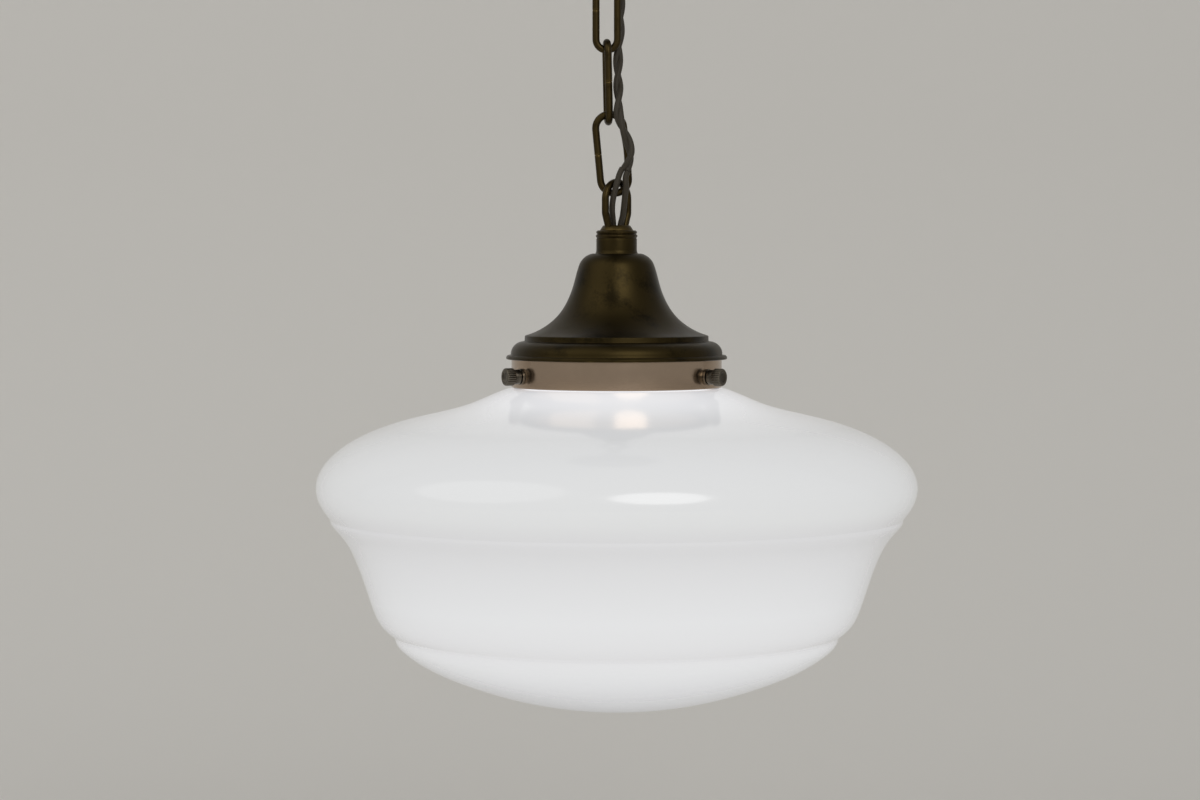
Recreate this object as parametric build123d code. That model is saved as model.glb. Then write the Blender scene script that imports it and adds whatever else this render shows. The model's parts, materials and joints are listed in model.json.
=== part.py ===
from build123d import *
import math
import os

# Schoolhouse pendant lamp on a short swag chain, in millimetres.
# The origin is on the ceiling at the middle of the canopy, +Z is up, and everything hangs below it.
# The viewer stands at -Y with +X to the right.

# Chain links and the two loops that hold its ends
LINK_WIRE = 3.6
LINK_LENGTH = 43.0
LINK_WIDTHS = (14.3, 14.3, 14.3, 17.6)  # the lowest was opened once and closed by hand, so it is wider
LINK_SEAM = 0.2  # the wire's two ends don't quite meet
LINK_PLAY = 0.15  # between two wires that hang in each other
LINK_YAWS = (90.0, 0.0, 96.0, 0.0)  # each link's turn about the vertical, the third a little askew
LINK_LEANS = (0.0, 0.0, 1.2, 5.4)  # the two lower links lean, their feet towards the lamp's axis
LINK_BOWS = (0.0, 0.0, 0.0, 0.6)  # and its right side bows out
LOOP_WIRE = 3.6
LOOP_WIDTH = 20.4
LOOP_RISE = 21.5  # from the boss's top to the middle of the wire at the crown
LOOP_FOOT = 12.6  # between the middles of the two feet
LOOP_KNEE = 6.0  # height at which the legs stop widening
LOOP_KNEE_RADIUS = 6.0
LAMP_LOOP_YAW = 48.0
LOOP_ASIDE = 0.4  # the stiff cord holds the lamp's loop this far beside the middle of the lowest link
LOOP_CROSSING_PLAY = 1.7  # more room where the lamp's loop crosses the link at a slant

# Bosses of the loops, and the threaded tubes that they screw on
TUBE_RADIUS = 5.0
TUBE_BORE = 3.6
THREAD_GAP = 0.05
BOSS_RADIUS = 8.3
BOSS_CREST = 6.8
BOSS_HEIGHT = 2.5
BOSS_MOUTH = 3.5  # radius of the cord's hole at the boss's top
BOSS_MOUTH_DEPTH = 3.6
STEM_RADIUS = 7.0
LAMP_STEM = 10.0
CANOPY_FLANGE = 9.5
CANOPY_STEM = 3.0
NUT_FLATS = 14.0
NUT_HEIGHT = 3.5

# Ceiling end
BAR_WIDTH = 18.0
BAR_THICKNESS = 2.0
BAR_DROP = 12.0
BAR_FOOT = 12.0
BAR_RAMP = 6.0
BAR_END = 1.0  # beyond each slot
SLOT_SPACING = 84.0
SLOT_LENGTH = 10.0
SLOT_RADIUS = 2.25
CANOPY_RADIUS = 60.0
CANOPY_DEPTH = 34.0
CANOPY_RIM = 4.0  # height of its upright rim
CANOPY_WALL = 1.0
BLOCK_SIZE = (12.0, 15.0, 8.0)
BLOCK_X = 17.5
POLE_PITCH = 7.0
POLE_BORE = 1.6
POLE_SCREW_RADIUS = 1.5
POLE_SCREW_HEIGHT = 3.5
EARTH_X = -18.0
EARTH_HEAD = 3.8
EARTH_SHANK = 1.9
EARTH_LENGTH = 5.0
CANOPY_TUBE_TOP = 1.5  # above the bar's bridge

# Neck, bell and band of the lamp
NECK_CAP_RADIUS = 10.5
NECK_CAP_HEIGHT = 4.0
NECK_BEAD = 0.9
COLLAR_RADIUS = 10.15
COLLAR_FLARE = 0.5
COLLAR_HEIGHT = 7.5
BELL_WALL = 1.0
BELL_HEIGHT = 52.7
BELL_LIP_WIDTH = 2.4
BELL_SEAT = 1.8  # from the lip's lower edge up to the ledge that sits on the fitter
FIT_GAP = 0.3
FITTER_RADIUS = 52.5
FITTER_WALL = 1.0
FITTER_HEIGHT = 15.7
FITTER_BEND = 0.9
VENT_RADIUS = 4.0
VENT_CIRCLE = 32.0
VENT_COUNT = 4
WASHER_RADIUS = 9.0
WASHER_THICKNESS = 0.8

# Glass shade
SHADE_RADIUS = 150.1
SHADE_DEPTH = 161.1  # from the neck's foot down to the bowl's lowest point
GLASS_WALL = 3.0
GLASS_LIP_GAP = 2.1  # inside the band all round, so that the screws can centre the shade
GLASS_LIP_LEDGE = 2.8  # how far the lip stands out from the neck
GLASS_LIP_HEIGHT = 4.0
GLASS_LIP_ROUND = 0.9
GLASS_LIP_DROP = 3.6  # below the fitter's top face
GLASS_NECK_HEIGHT = 4.5
GLASS_NECK_BEND = 4.0

# Thumb screws that carry the shade
SCREW_COUNT = 3
SCREW_FIRST_ANGLE = 207.0
SCREW_DROP = 9.8  # below the fitter's top face
SCREW_SHANK = 2.0
SCREW_SHOULDER = 3.6
SCREW_SHOULDER_LENGTH = 3.2
SCREW_HEAD = 4.35
SCREW_HEAD_LENGTH = 4.6
KNURL_COUNT = 24
KNURL_DEPTH = 0.3
SCREW_GAP = 0.05
TIP_GAP = 0.3  # from the glass's neck to the screw's tip
BUSHING_FLANGE = 4.0
BUSHING_FLANGE_LENGTH = 1.2
BUSHING_BODY = 3.0
SHOULDER_GAP = 0.3

# Lampholder
HOLDER_TOP = 5.6  # below the fitter's top face
HOLDER_CAP_RADIUS = 19.0
HOLDER_CAP_HEIGHT = 12.0
HOLDER_CAP_WALL = 3.0
HOLDER_RADIUS = 21.0
HOLDER_HEIGHT = 38.0
HOLDER_FLOOR = 6.0  # from the porcelain's upper end down to its floor
HOLDER_FLOOR_THICKNESS = 4.0
SHELL_RADIUS = 13.9
SHELL_WALL = 0.4
SHELL_LENGTH = 26.0
PORCELAIN_GAP = 0.2
CONTACT_RADIUS = 4.0
CONTACT_STRIP = 0.6
CONTACT_SPRING = 3.6
HOLDER_RECESS = 12.5
HOLDER_SCREW_X = 15.8
HOLDER_SCREW_RADIUS = 1.4
HOLDER_SCREW_LENGTH = 12.0
TERMINAL_SIZE = (5.0, 6.0, 4.0)
TERMINAL_X = 6.5

# Bulb
BULB_CAP_RADIUS = 13.1
BULB_CAP_WALL = 0.3
BULB_CAP_LENGTH = 22.0
BULB_CAP_DROP = 3.0  # from the contact's tip to the cap's upper edge
BULB_NECK = 12.6
BULB_RADIUS = 30.0
BULB_LENGTH = 108.0
BULB_WALL = 0.8
BULB_CONTACT = 4.5
BULB_PLAY = 0.2
STEM_FOOT = 8.0
STEM_TIP = 2.5
BULB_STEM_LENGTH = 46.0
FILAMENT_WIRE = 0.5
FILAMENT_WIDTH = 26.0

# Twisted cord
CORD_DIAMETER = 5.1
CORE_DIAMETER = 3.0
CORE_GAP = 0.05
CORE_END = 5.0  # below the lamp boss's top, where a core meets its lead in the tube
ARC_RATIO = 0.45  # of the shorter run, taken by each arc of a route

# The cord's route, from the canopy down past the chain's right side: behind the second link,
# across to the front beside the third, and out over the lowest link's bowed side.
# Its heights are measured from the top of the canopy loop's boss.
CORD_ROUTE = (
    (0.0, 0.0, 3.3),
    (0.0, 0.0, -3.5),
    (1.9, 3.1, -11.1),
    (5.2, 6.2, -20.5),
    (5.8, 5.9, -34.5),
    (5.7, 5.0, -49.5),
    (6.8, 5.3, -65.0),
    (6.8, 5.4, -80.0),
    (5.7, 5.0, -93.5),
    (5.6, 0.4, -107.5),
    (6.0, -5.0, -117.5),
    (5.6, -7.0, -127.0),
    (11.4, -5.6, -140.0),
    (12.4, -5.4, -146.8),
    (9.2, -5.2, -152.3),
)
# How many whole runs lie above each place, beside the middle of a link,
# where one stretch ends and the next begins
STRETCH_RUN_COUNTS = (4, 6, 9)
# Below the split, the corners of each core's way into the lamp, measured from the top of its loop's boss
CORE_ROUTES = {
    "left": ((0.1, -5.6, 20.7), (-1.6, -5.0, 14.7), (-2.4, -3.6, 8.9), (-2.0, -1.5, 3.9)),
    "right": ((4.8, -4.6, 19.7), (4.1, -3.3, 14.5), (3.6, -1.8, 9.1), (3.0, -0.4, 4.1)),
}
SPLIT_RUN = 3.0  # straight run of the cores where they leave the twist


# Sizes and heights, all worked out from the sizes above
LINK_REACH = LINK_LENGTH - LINK_WIRE
BELL_LIP = FITTER_RADIUS + FIT_GAP + BELL_LIP_WIDTH
GLASS_LIP = FITTER_RADIUS - FITTER_WALL - GLASS_LIP_GAP
GLASS_NECK = GLASS_LIP - GLASS_LIP_LEDGE
CANOPY_BOSS_TOP = -CANOPY_DEPTH - CANOPY_STEM - BOSS_HEIGHT
CANOPY_LOOP_WIRE = CANOPY_BOSS_TOP - LOOP_RISE
BRIDGE_TOP = -BAR_DROP
BRIDGE_BOTTOM = BRIDGE_TOP - BAR_THICKNESS


def link_places():
    """Upper and lower pivot of each link: the middles of its wire at its two ends."""
    places = []
    above = Vector(0, 0, CANOPY_LOOP_WIRE)
    rise = (LOOP_WIRE + LINK_WIRE) / 2 + LINK_PLAY
    for lean in LINK_LEANS:
        top = above + Vector(0, 0, rise)
        down = Vector(math.sin(math.radians(lean)), 0, -math.cos(math.radians(lean)))
        places.append((top, top + down * LINK_REACH))
        above = places[-1][1]
        rise = LINK_WIRE + LINK_PLAY
    return places


LINK_PLACES = link_places()
# The lamp's axis hangs beside the canopy's, because the stiff cord pushes the lowest link aside
LAMP_X = LINK_PLACES[-1][1].X + LOOP_ASIDE
LAMP_LOOP_WIRE = LINK_PLACES[-1][1].Z + (LOOP_WIRE + LINK_WIRE) / 2 + LINK_PLAY + LOOP_CROSSING_PLAY
LAMP_BOSS_TOP = LAMP_LOOP_WIRE - LOOP_RISE
NECK_CAP_TOP = LAMP_BOSS_TOP - BOSS_HEIGHT
COLLAR_TOP = NECK_CAP_TOP - NECK_CAP_HEIGHT
BELL_TOP = COLLAR_TOP - COLLAR_HEIGHT
BELL_FOOT = BELL_TOP - BELL_HEIGHT
FITTER_TOP = BELL_FOOT + BELL_SEAT
FITTER_FOOT = FITTER_TOP - FITTER_HEIGHT
SCREW_Z = FITTER_TOP - SCREW_DROP
GLASS_TOP = FITTER_TOP - GLASS_LIP_DROP
GLASS_BASE = GLASS_TOP - GLASS_LIP_HEIGHT - GLASS_NECK_HEIGHT - GLASS_NECK_BEND
HOLDER_TOP_Z = FITTER_TOP - HOLDER_TOP
HOLDER_JOINT = HOLDER_TOP_Z - HOLDER_CAP_HEIGHT
HOLDER_FLOOR_Z = HOLDER_JOINT - HOLDER_FLOOR - HOLDER_FLOOR_THICKNESS
BULB_TIP = HOLDER_FLOOR_Z - CONTACT_STRIP - CONTACT_SPRING - BULB_PLAY

# Pivots of the swinging pieces, each in the middle of the wire that carries the next piece
PIVOTS = [Vector(0, 0, CANOPY_LOOP_WIRE)] + [foot for _, foot in LINK_PLACES]
PIVOTS[-1] = Vector(LAMP_X, 0, PIVOTS[-1].Z)


def at(radius, z):
    """A point of a turned outline, in the XZ plane."""
    return Vector(radius, 0, z)


def drawn(*points, ends):
    """A smooth outline through points, with the directions of its two ends. Unit tangents keep it from bulging."""
    directions = [Vector(end).normalized() for end in ends]
    return Spline(*points, tangents=directions, tangent_scalars=(1, 1))


def turned(*edges):
    """The solid that a closed outline of edges in the XZ plane sweeps about Z."""
    return revolve(make_face(Wire(list(edges)).edges()), axis=Axis.Z)


def turned_points(*points):
    """The same for an outline of straight lines through (radius, z) points."""
    corners = [at(*p) for p in points]
    return revolve(make_face(Polyline(*corners, close=True).edges()), axis=Axis.Z)


def tube(outer, inner, top, bottom):
    """A plain tube about Z."""
    return turned_points((inner, top), (outer, top), (outer, bottom), (inner, bottom))


def beside(curve, distance, spots):
    """Points that lie at a distance to the left of a curve in the XZ plane, seen along it."""
    found = []
    for spot in spots:
        along = curve % spot
        found.append(curve @ spot + Vector(-along.Z, 0, along.X) * distance)
    return found


def swept(path, radius):
    """Round wire along a path."""
    return sweep(Plane(path @ 0, z_dir=path % 0) * Circle(radius), path=path)


def bowed_half(half_width, half_straight, bow, end):
    """Half of a link's right side in the XZ plane, from a crown to the link's middle height, as two equal
    arcs that bend it outwards and back to upright. end is 1 at the upper crown or -1 at the lower."""
    turn = 2 * math.atan(bow / half_straight)
    radius = half_straight / (2 * math.sin(turn))
    sag = radius * (1 - math.cos(turn / 2))
    rise = radius * math.sin(turn / 2)
    start, foot = at(half_width, end * half_straight), at(half_width + bow, 0)
    middle = (start + foot) * 0.5
    first_bend = at(half_width + sag, end * (half_straight - rise))
    second_bend = at(half_width + bow - sag, end * rise)
    return [ThreePointArc(start, first_bend, middle), ThreePointArc(middle, second_bend, foot)]


def chain_link(width, yaw, lean, bow, top):
    """A long oval link of round wire, with an open seam in its left side, hung from its upper pivot."""
    half_width = (width - LINK_WIRE) / 2
    half_straight = LINK_REACH / 2 - half_width
    crown = LINK_REACH / 2
    if bow:
        right = [edge for end in (1, -1) for edge in bowed_half(half_width, half_straight, bow, end)]
    else:
        right = [Line(at(half_width, half_straight), at(half_width, -half_straight))]
    path = Wire(
        [
            Line(at(-half_width, 0), at(-half_width, half_straight)),
            ThreePointArc(at(-half_width, half_straight), at(0, crown), at(half_width, half_straight)),
            *right,
            ThreePointArc(at(half_width, -half_straight), at(0, -crown), at(-half_width, -half_straight)),
            Line(at(-half_width, -half_straight), at(-half_width, 0)),
        ]
    )
    seam = Pos(-half_width, 0, 0) * Box(2 * LINK_WIRE, 2 * LINK_WIRE, LINK_SEAM)
    link = Pos(0, 0, -crown) * (swept(path, LINK_WIRE / 2) - seam)
    return Pos(*top) * (Rot(0, -lean, 0) * (Rot(0, 0, yaw) * link))


def loop_ring():
    """The loop's wire in the XZ plane, its feet at z = 0 and its crown upwards."""
    half_width = (LOOP_WIDTH - LOOP_WIRE) / 2
    spring = LOOP_RISE - half_width
    foot = LOOP_FOOT / 2
    sunk = -BOSS_HEIGHT + 0.5
    left = FilletPolyline(
        at(-foot, sunk), at(-foot, 0), at(-half_width, LOOP_KNEE), at(-half_width, spring),
        radius=[LOOP_KNEE_RADIUS / 2, LOOP_KNEE_RADIUS],
    )
    right = FilletPolyline(
        at(half_width, spring), at(half_width, LOOP_KNEE), at(foot, 0), at(foot, sunk),
        radius=[LOOP_KNEE_RADIUS, LOOP_KNEE_RADIUS / 2],
    )
    crown = ThreePointArc(at(-half_width, spring), at(0, LOOP_RISE), at(half_width, spring))
    return swept(Wire([*left.edges(), crown, *right.edges()]), LOOP_WIRE / 2)


def loop_on_boss(stem_radius, stem_length):
    """A cast loop on a cone-topped boss with a threaded stem below, its boss's top at z = 0."""
    socket = TUBE_RADIUS + THREAD_GAP
    body = turned_points(
        (0, 0), (BOSS_CREST, 0), (BOSS_RADIUS, -BOSS_HEIGHT), (stem_radius, -BOSS_HEIGHT),
        (stem_radius, -BOSS_HEIGHT - stem_length), (0, -BOSS_HEIGHT - stem_length),
    )
    bore = turned_points(
        (0, 1), (BOSS_MOUTH, 1), (BOSS_MOUTH, -BOSS_MOUTH_DEPTH), (socket, -BOSS_MOUTH_DEPTH),
        (socket, -BOSS_HEIGHT - stem_length - 1), (0, -BOSS_HEIGHT - stem_length - 1),
    )
    return body + loop_ring() - bore


def hex_nut(top):
    """A thin nut on the threaded tube, its upper face at a height."""
    nut = extrude(RegularPolygon(NUT_FLATS / 2, 6, major_radius=False), -NUT_HEIGHT)
    return Pos(0, 0, top) * (nut - Cylinder(TUBE_RADIUS + THREAD_GAP, 3 * NUT_HEIGHT))


def ceiling_bar():
    """A steel strap whose ends lie on the ceiling and whose bridge hangs below it, slotted at both ends."""
    end = (SLOT_SPACING + SLOT_LENGTH) / 2 + BAR_END
    outer = end - BAR_FOOT
    inner = outer - BAR_RAMP
    upper = [(-end, 0), (-outer, 0), (-inner, BRIDGE_TOP), (inner, BRIDGE_TOP), (outer, 0), (end, 0)]
    lower = [(x, z - BAR_THICKNESS) for x, z in upper]
    lean = BAR_THICKNESS * (math.hypot(BAR_DROP, BAR_RAMP) - BAR_RAMP) / BAR_DROP
    for i, side in ((1, -1), (2, -1), (3, 1), (4, 1)):
        lower[i] = (lower[i][0] + side * lean, lower[i][1])
    outline = [Vector(x, -BAR_WIDTH / 2, z) for x, z in upper + lower[::-1]]
    bar = extrude(make_face(Polyline(*outline, close=True).edges()), amount=BAR_WIDTH, dir=(0, 1, 0))
    slot = extrude(SlotOverall(SLOT_LENGTH, 2 * SLOT_RADIUS), 2 * BAR_DROP, both=True)
    for side in (-1, 1):
        bar -= Pos(side * SLOT_SPACING / 2, 0, 0) * slot
    bar -= Pos(0, 0, BRIDGE_TOP) * Cylinder(TUBE_RADIUS + THREAD_GAP, 4 * BAR_THICKNESS)
    bar -= Pos(EARTH_X, 0, BRIDGE_TOP) * Cylinder(EARTH_SHANK + THREAD_GAP, 4 * BAR_THICKNESS)
    return bar


def spun(out, down):
    """A point of the canopy's outline, at shares of its radius and depth."""
    return at(CANOPY_RADIUS * out, -CANOPY_DEPTH * down)


def canopy():
    """A spun brass cover with a stepped profile, its open rim on the ceiling."""
    foot = -CANOPY_DEPTH
    hole = TUBE_RADIUS + FIT_GAP
    neck = CANOPY_RADIUS * 0.217
    brow = ThreePointArc(at(CANOPY_RADIUS * 0.958, -CANOPY_RIM), spun(0.877, 0.359), spun(0.717, 0.471))
    flare = drawn(
        spun(0.71, 0.547), spun(0.45, 0.665), spun(0.283, 0.838), at(neck, foot + 0.6),
        ends=[(-1, 0, -0.1), (-0.6, 0, -0.8)],
    )
    inner_brow = beside(brow, -CANOPY_WALL, (1, 0.5, 0))
    inner_flare = beside(flare, -CANOPY_WALL, (0.97, 0.66, 0.33, 0.03))
    shell = [
        Line(at(CANOPY_RADIUS, 0), at(CANOPY_RADIUS, 1.6 - CANOPY_RIM)),
        ThreePointArc(
            at(CANOPY_RADIUS, 1.6 - CANOPY_RIM), at(CANOPY_RADIUS - 0.7, 0.3 - CANOPY_RIM),
            at(CANOPY_RADIUS - 2.0, -CANOPY_RIM),
        ),
        Line(at(CANOPY_RADIUS - 2.0, -CANOPY_RIM), brow @ 0),
        brow,
        Line(brow @ 1, flare @ 0),
        flare,
        Line(flare @ 1, at(neck - 1.0, foot)),
        Line(at(neck - 1.0, foot), at(hole, foot)),
        Line(at(hole, foot), at(hole, foot + CANOPY_WALL)),
        Line(at(hole, foot + CANOPY_WALL), at(neck - 1.4, foot + CANOPY_WALL)),
        Line(at(neck - 1.4, foot + CANOPY_WALL), inner_flare[0]),
        Spline(*inner_flare),
        Line(inner_flare[-1], inner_brow[0]),
        Spline(*inner_brow),
        Line(inner_brow[-1], at(CANOPY_RADIUS - CANOPY_WALL, 0)),
        Line(at(CANOPY_RADIUS - CANOPY_WALL, 0), at(CANOPY_RADIUS, 0)),
    ]
    return turned(*shell)


def ceiling_end():
    """Everything that stays on the ceiling."""
    tube_top = BRIDGE_TOP + CANOPY_TUBE_TOP
    tube_foot = -CANOPY_DEPTH - CANOPY_STEM - BOSS_HEIGHT + BOSS_MOUTH_DEPTH
    loop = Pos(0, 0, BOSS_HEIGHT + CANOPY_STEM) * loop_on_boss(CANOPY_FLANGE, CANOPY_STEM)
    width, depth, height = BLOCK_SIZE
    block = Pos(BLOCK_X, 0, BRIDGE_TOP + height / 2) * Box(width, depth, height)
    screws = Part()
    for side in (-1, 1):
        y = side * POLE_PITCH / 2
        bore = Rot(0, 90, 0) * Cylinder(POLE_BORE, 2 * width)
        block -= Pos(BLOCK_X, y, BRIDGE_TOP + height / 2 - 1) * bore
        place = Pos(BLOCK_X, y, BRIDGE_TOP + height - POLE_SCREW_HEIGHT / 2)
        screw = Cylinder(POLE_SCREW_RADIUS, POLE_SCREW_HEIGHT)
        screw -= Pos(0, 0, POLE_SCREW_HEIGHT / 2) * Box(4, 0.6, 1.4)
        block -= place * Cylinder(POLE_SCREW_RADIUS + THREAD_GAP, POLE_SCREW_HEIGHT + 0.5)
        screws += place * screw
    earth = Pos(0, 0, EARTH_HEAD / 3) * Cylinder(EARTH_HEAD, 2 * EARTH_HEAD / 3)
    earth += Pos(0, 0, -EARTH_LENGTH / 2) * Cylinder(EARTH_SHANK, EARTH_LENGTH)
    earth -= Pos(0, 0, 2 * EARTH_HEAD / 3) * Box(3 * EARTH_HEAD, 0.9, 2.0)
    return {
        "ceiling_bar": ceiling_bar(),
        "canopy": canopy(),
        "canopy_tube": tube(TUBE_RADIUS, TUBE_BORE, tube_top, tube_foot),
        "canopy_lock_nut": hex_nut(BRIDGE_BOTTOM),
        "canopy_loop": Pos(0, 0, -CANOPY_DEPTH) * (Rot(180, 0, 0) * loop),
        "terminal_block": block,
        "terminal_screws": screws,
        "earth_screw": Pos(EARTH_X, 0, BRIDGE_TOP) * earth,
    }


def bell_cover():
    """The spun brass bell: rounded shoulder, long flare, two steps and a lip that slips over the fitter."""
    top, foot = BELL_TOP, BELL_FOOT
    hole = TUBE_RADIUS + FIT_GAP
    inside = FITTER_RADIUS + FIT_GAP
    seat = foot + BELL_SEAT
    shoulder = ThreePointArc(at(12.0, top), at(16.3, top - 2.1), at(18.9, top - 6.2))
    flare = drawn(
        at(18.9, top - 6.2), at(22.0, top - 17.0), at(24.7, top - 23.8), at(28.4, top - 29.8),
        at(34.7, top - 35.7), at(BELL_LIP - 9.9, top - 40.8), ends=[shoulder % 1, (1, 0, -0.28)],
    )
    ledge = BELL_LIP - 9.3
    brow = ThreePointArc(
        at(BELL_LIP - 7.9, foot + 8.8), at(BELL_LIP - 3.8, foot + 6.6), at(BELL_LIP - 2.3, foot + 2.4)
    )
    inner_brow = beside(brow, -BELL_WALL, (0.92, 0.5, 0))
    inner_flare = beside(flare, -BELL_WALL, (0.98, 0.8, 0.6, 0.4, 0.2, 0))
    inner_shoulder = beside(shoulder, -BELL_WALL, (1, 0.5, 0))
    lip_round = 0.6
    return turned(
        Line(at(hole, top), at(12.0, top)),
        shoulder,
        flare,
        Line(flare @ 1, at(ledge, foot + 9.1)),
        Line(at(ledge, foot + 9.1), brow @ 0),
        brow,
        Line(brow @ 1, at(BELL_LIP - lip_round, foot + 2 * lip_round + 0.6)),
        ThreePointArc(
            at(BELL_LIP - lip_round, foot + 2 * lip_round + 0.6), at(BELL_LIP, foot + 0.9),
            at(BELL_LIP - 0.3, foot),
        ),
        Line(at(BELL_LIP - 0.3, foot), at(inside, foot)),
        Line(at(inside, foot), at(inside, seat)),
        Line(at(inside, seat), at(inner_brow[0].X, seat)),
        Line(at(inner_brow[0].X, seat), inner_brow[0]),
        Spline(*inner_brow),
        Line(inner_brow[-1], at(ledge - BELL_WALL, inner_brow[-1].Z)),
        Line(at(ledge - BELL_WALL, inner_brow[-1].Z), inner_flare[0]),
        Spline(*inner_flare),
        ThreePointArc(*inner_shoulder),
        Line(inner_shoulder[-1], at(hole, top - BELL_WALL)),
        Line(at(hole, top - BELL_WALL), at(hole, top)),
    )


def screw_angles():
    return [SCREW_FIRST_ANGLE + i * 360 / SCREW_COUNT for i in range(SCREW_COUNT)]


def outwards(angle):
    """Turns a piece made along +X to point out from the lamp's axis at the thumb screws' height."""
    return Pos(0, 0, SCREW_Z) * Rot(0, 0, angle) * Rot(0, 90, 0)


def fitter():
    """The bright cup that holds the shade: a vented disc with a plain band turned down round it."""
    inner = FITTER_RADIUS - FITTER_WALL
    bend = FITTER_BEND
    slant = bend * (1 - math.sqrt(0.5))
    hole = TUBE_RADIUS + THREAD_GAP
    cup = turned(
        Line(at(hole, FITTER_TOP), at(FITTER_RADIUS - bend, FITTER_TOP)),
        ThreePointArc(
            at(FITTER_RADIUS - bend, FITTER_TOP), at(FITTER_RADIUS - slant, FITTER_TOP - slant),
            at(FITTER_RADIUS, FITTER_TOP - bend),
        ),
        Line(at(FITTER_RADIUS, FITTER_TOP - bend), at(FITTER_RADIUS, FITTER_FOOT)),
        Line(at(FITTER_RADIUS, FITTER_FOOT), at(inner, FITTER_FOOT)),
        Line(at(inner, FITTER_FOOT), at(inner, FITTER_TOP - FITTER_WALL)),
        Line(at(inner, FITTER_TOP - FITTER_WALL), at(hole, FITTER_TOP - FITTER_WALL)),
        Line(at(hole, FITTER_TOP - FITTER_WALL), at(hole, FITTER_TOP)),
    )
    for i in range(VENT_COUNT):
        vent = Pos(VENT_CIRCLE, 0, FITTER_TOP) * Cylinder(VENT_RADIUS, 4 * FITTER_WALL)
        cup -= Rot(0, 0, 45 + i * 360 / VENT_COUNT) * vent
    for angle in screw_angles():
        cup -= outwards(angle) * Pos(0, 0, inner) * Cylinder(BUSHING_BODY + THREAD_GAP, 8 * FITTER_WALL)
    return cup


def bushings():
    """The threaded bushings in the band, one for each thumb screw."""
    inner = FITTER_RADIUS - FITTER_WALL
    bore = SCREW_SHANK + SCREW_GAP
    one = turned_points(
        (bore, inner), (BUSHING_BODY, inner), (BUSHING_BODY, FITTER_RADIUS), (BUSHING_FLANGE, FITTER_RADIUS),
        (BUSHING_FLANGE, FITTER_RADIUS + BUSHING_FLANGE_LENGTH),
        (bore, FITTER_RADIUS + BUSHING_FLANGE_LENGTH),
    )
    return Part() + [outwards(angle) * one for angle in screw_angles()]


def thumb_screw(angle):
    """A knurled screw whose tip reaches under the glass's lip."""
    tip = GLASS_NECK + TIP_GAP
    shoulder = FITTER_RADIUS + BUSHING_FLANGE_LENGTH + SHOULDER_GAP
    head = shoulder + SCREW_SHOULDER_LENGTH
    end = head + SCREW_HEAD_LENGTH
    shank = turned_points(
        (0, tip), (SCREW_SHANK - 0.5, tip), (SCREW_SHANK, tip + 0.5), (SCREW_SHANK, shoulder),
        (SCREW_SHOULDER, shoulder), (SCREW_SHOULDER, head + 0.5), (0, head + 0.5),
    )
    ridges = []
    for i in range(2 * KNURL_COUNT):
        radius = SCREW_HEAD if i % 2 else SCREW_HEAD - KNURL_DEPTH
        around = i * math.pi / KNURL_COUNT
        ridges.append((radius * math.cos(around), radius * math.sin(around)))
    grip = Pos(0, 0, head) * extrude(make_face(Polyline(*ridges, close=True).edges()), SCREW_HEAD_LENGTH)
    chamfer = 0.45
    grip &= turned_points(
        (0, head), (SCREW_HEAD - chamfer, head), (SCREW_HEAD, head + chamfer), (SCREW_HEAD, end - chamfer),
        (SCREW_HEAD - chamfer, end), (0, end),
    )
    return outwards(angle) * (shank + grip)


def blown(out, down):
    """A point of the shade's outline below its neck, at shares of its radius and depth."""
    return at(SHADE_RADIUS * out, GLASS_BASE - SHADE_DEPTH * down)


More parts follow.
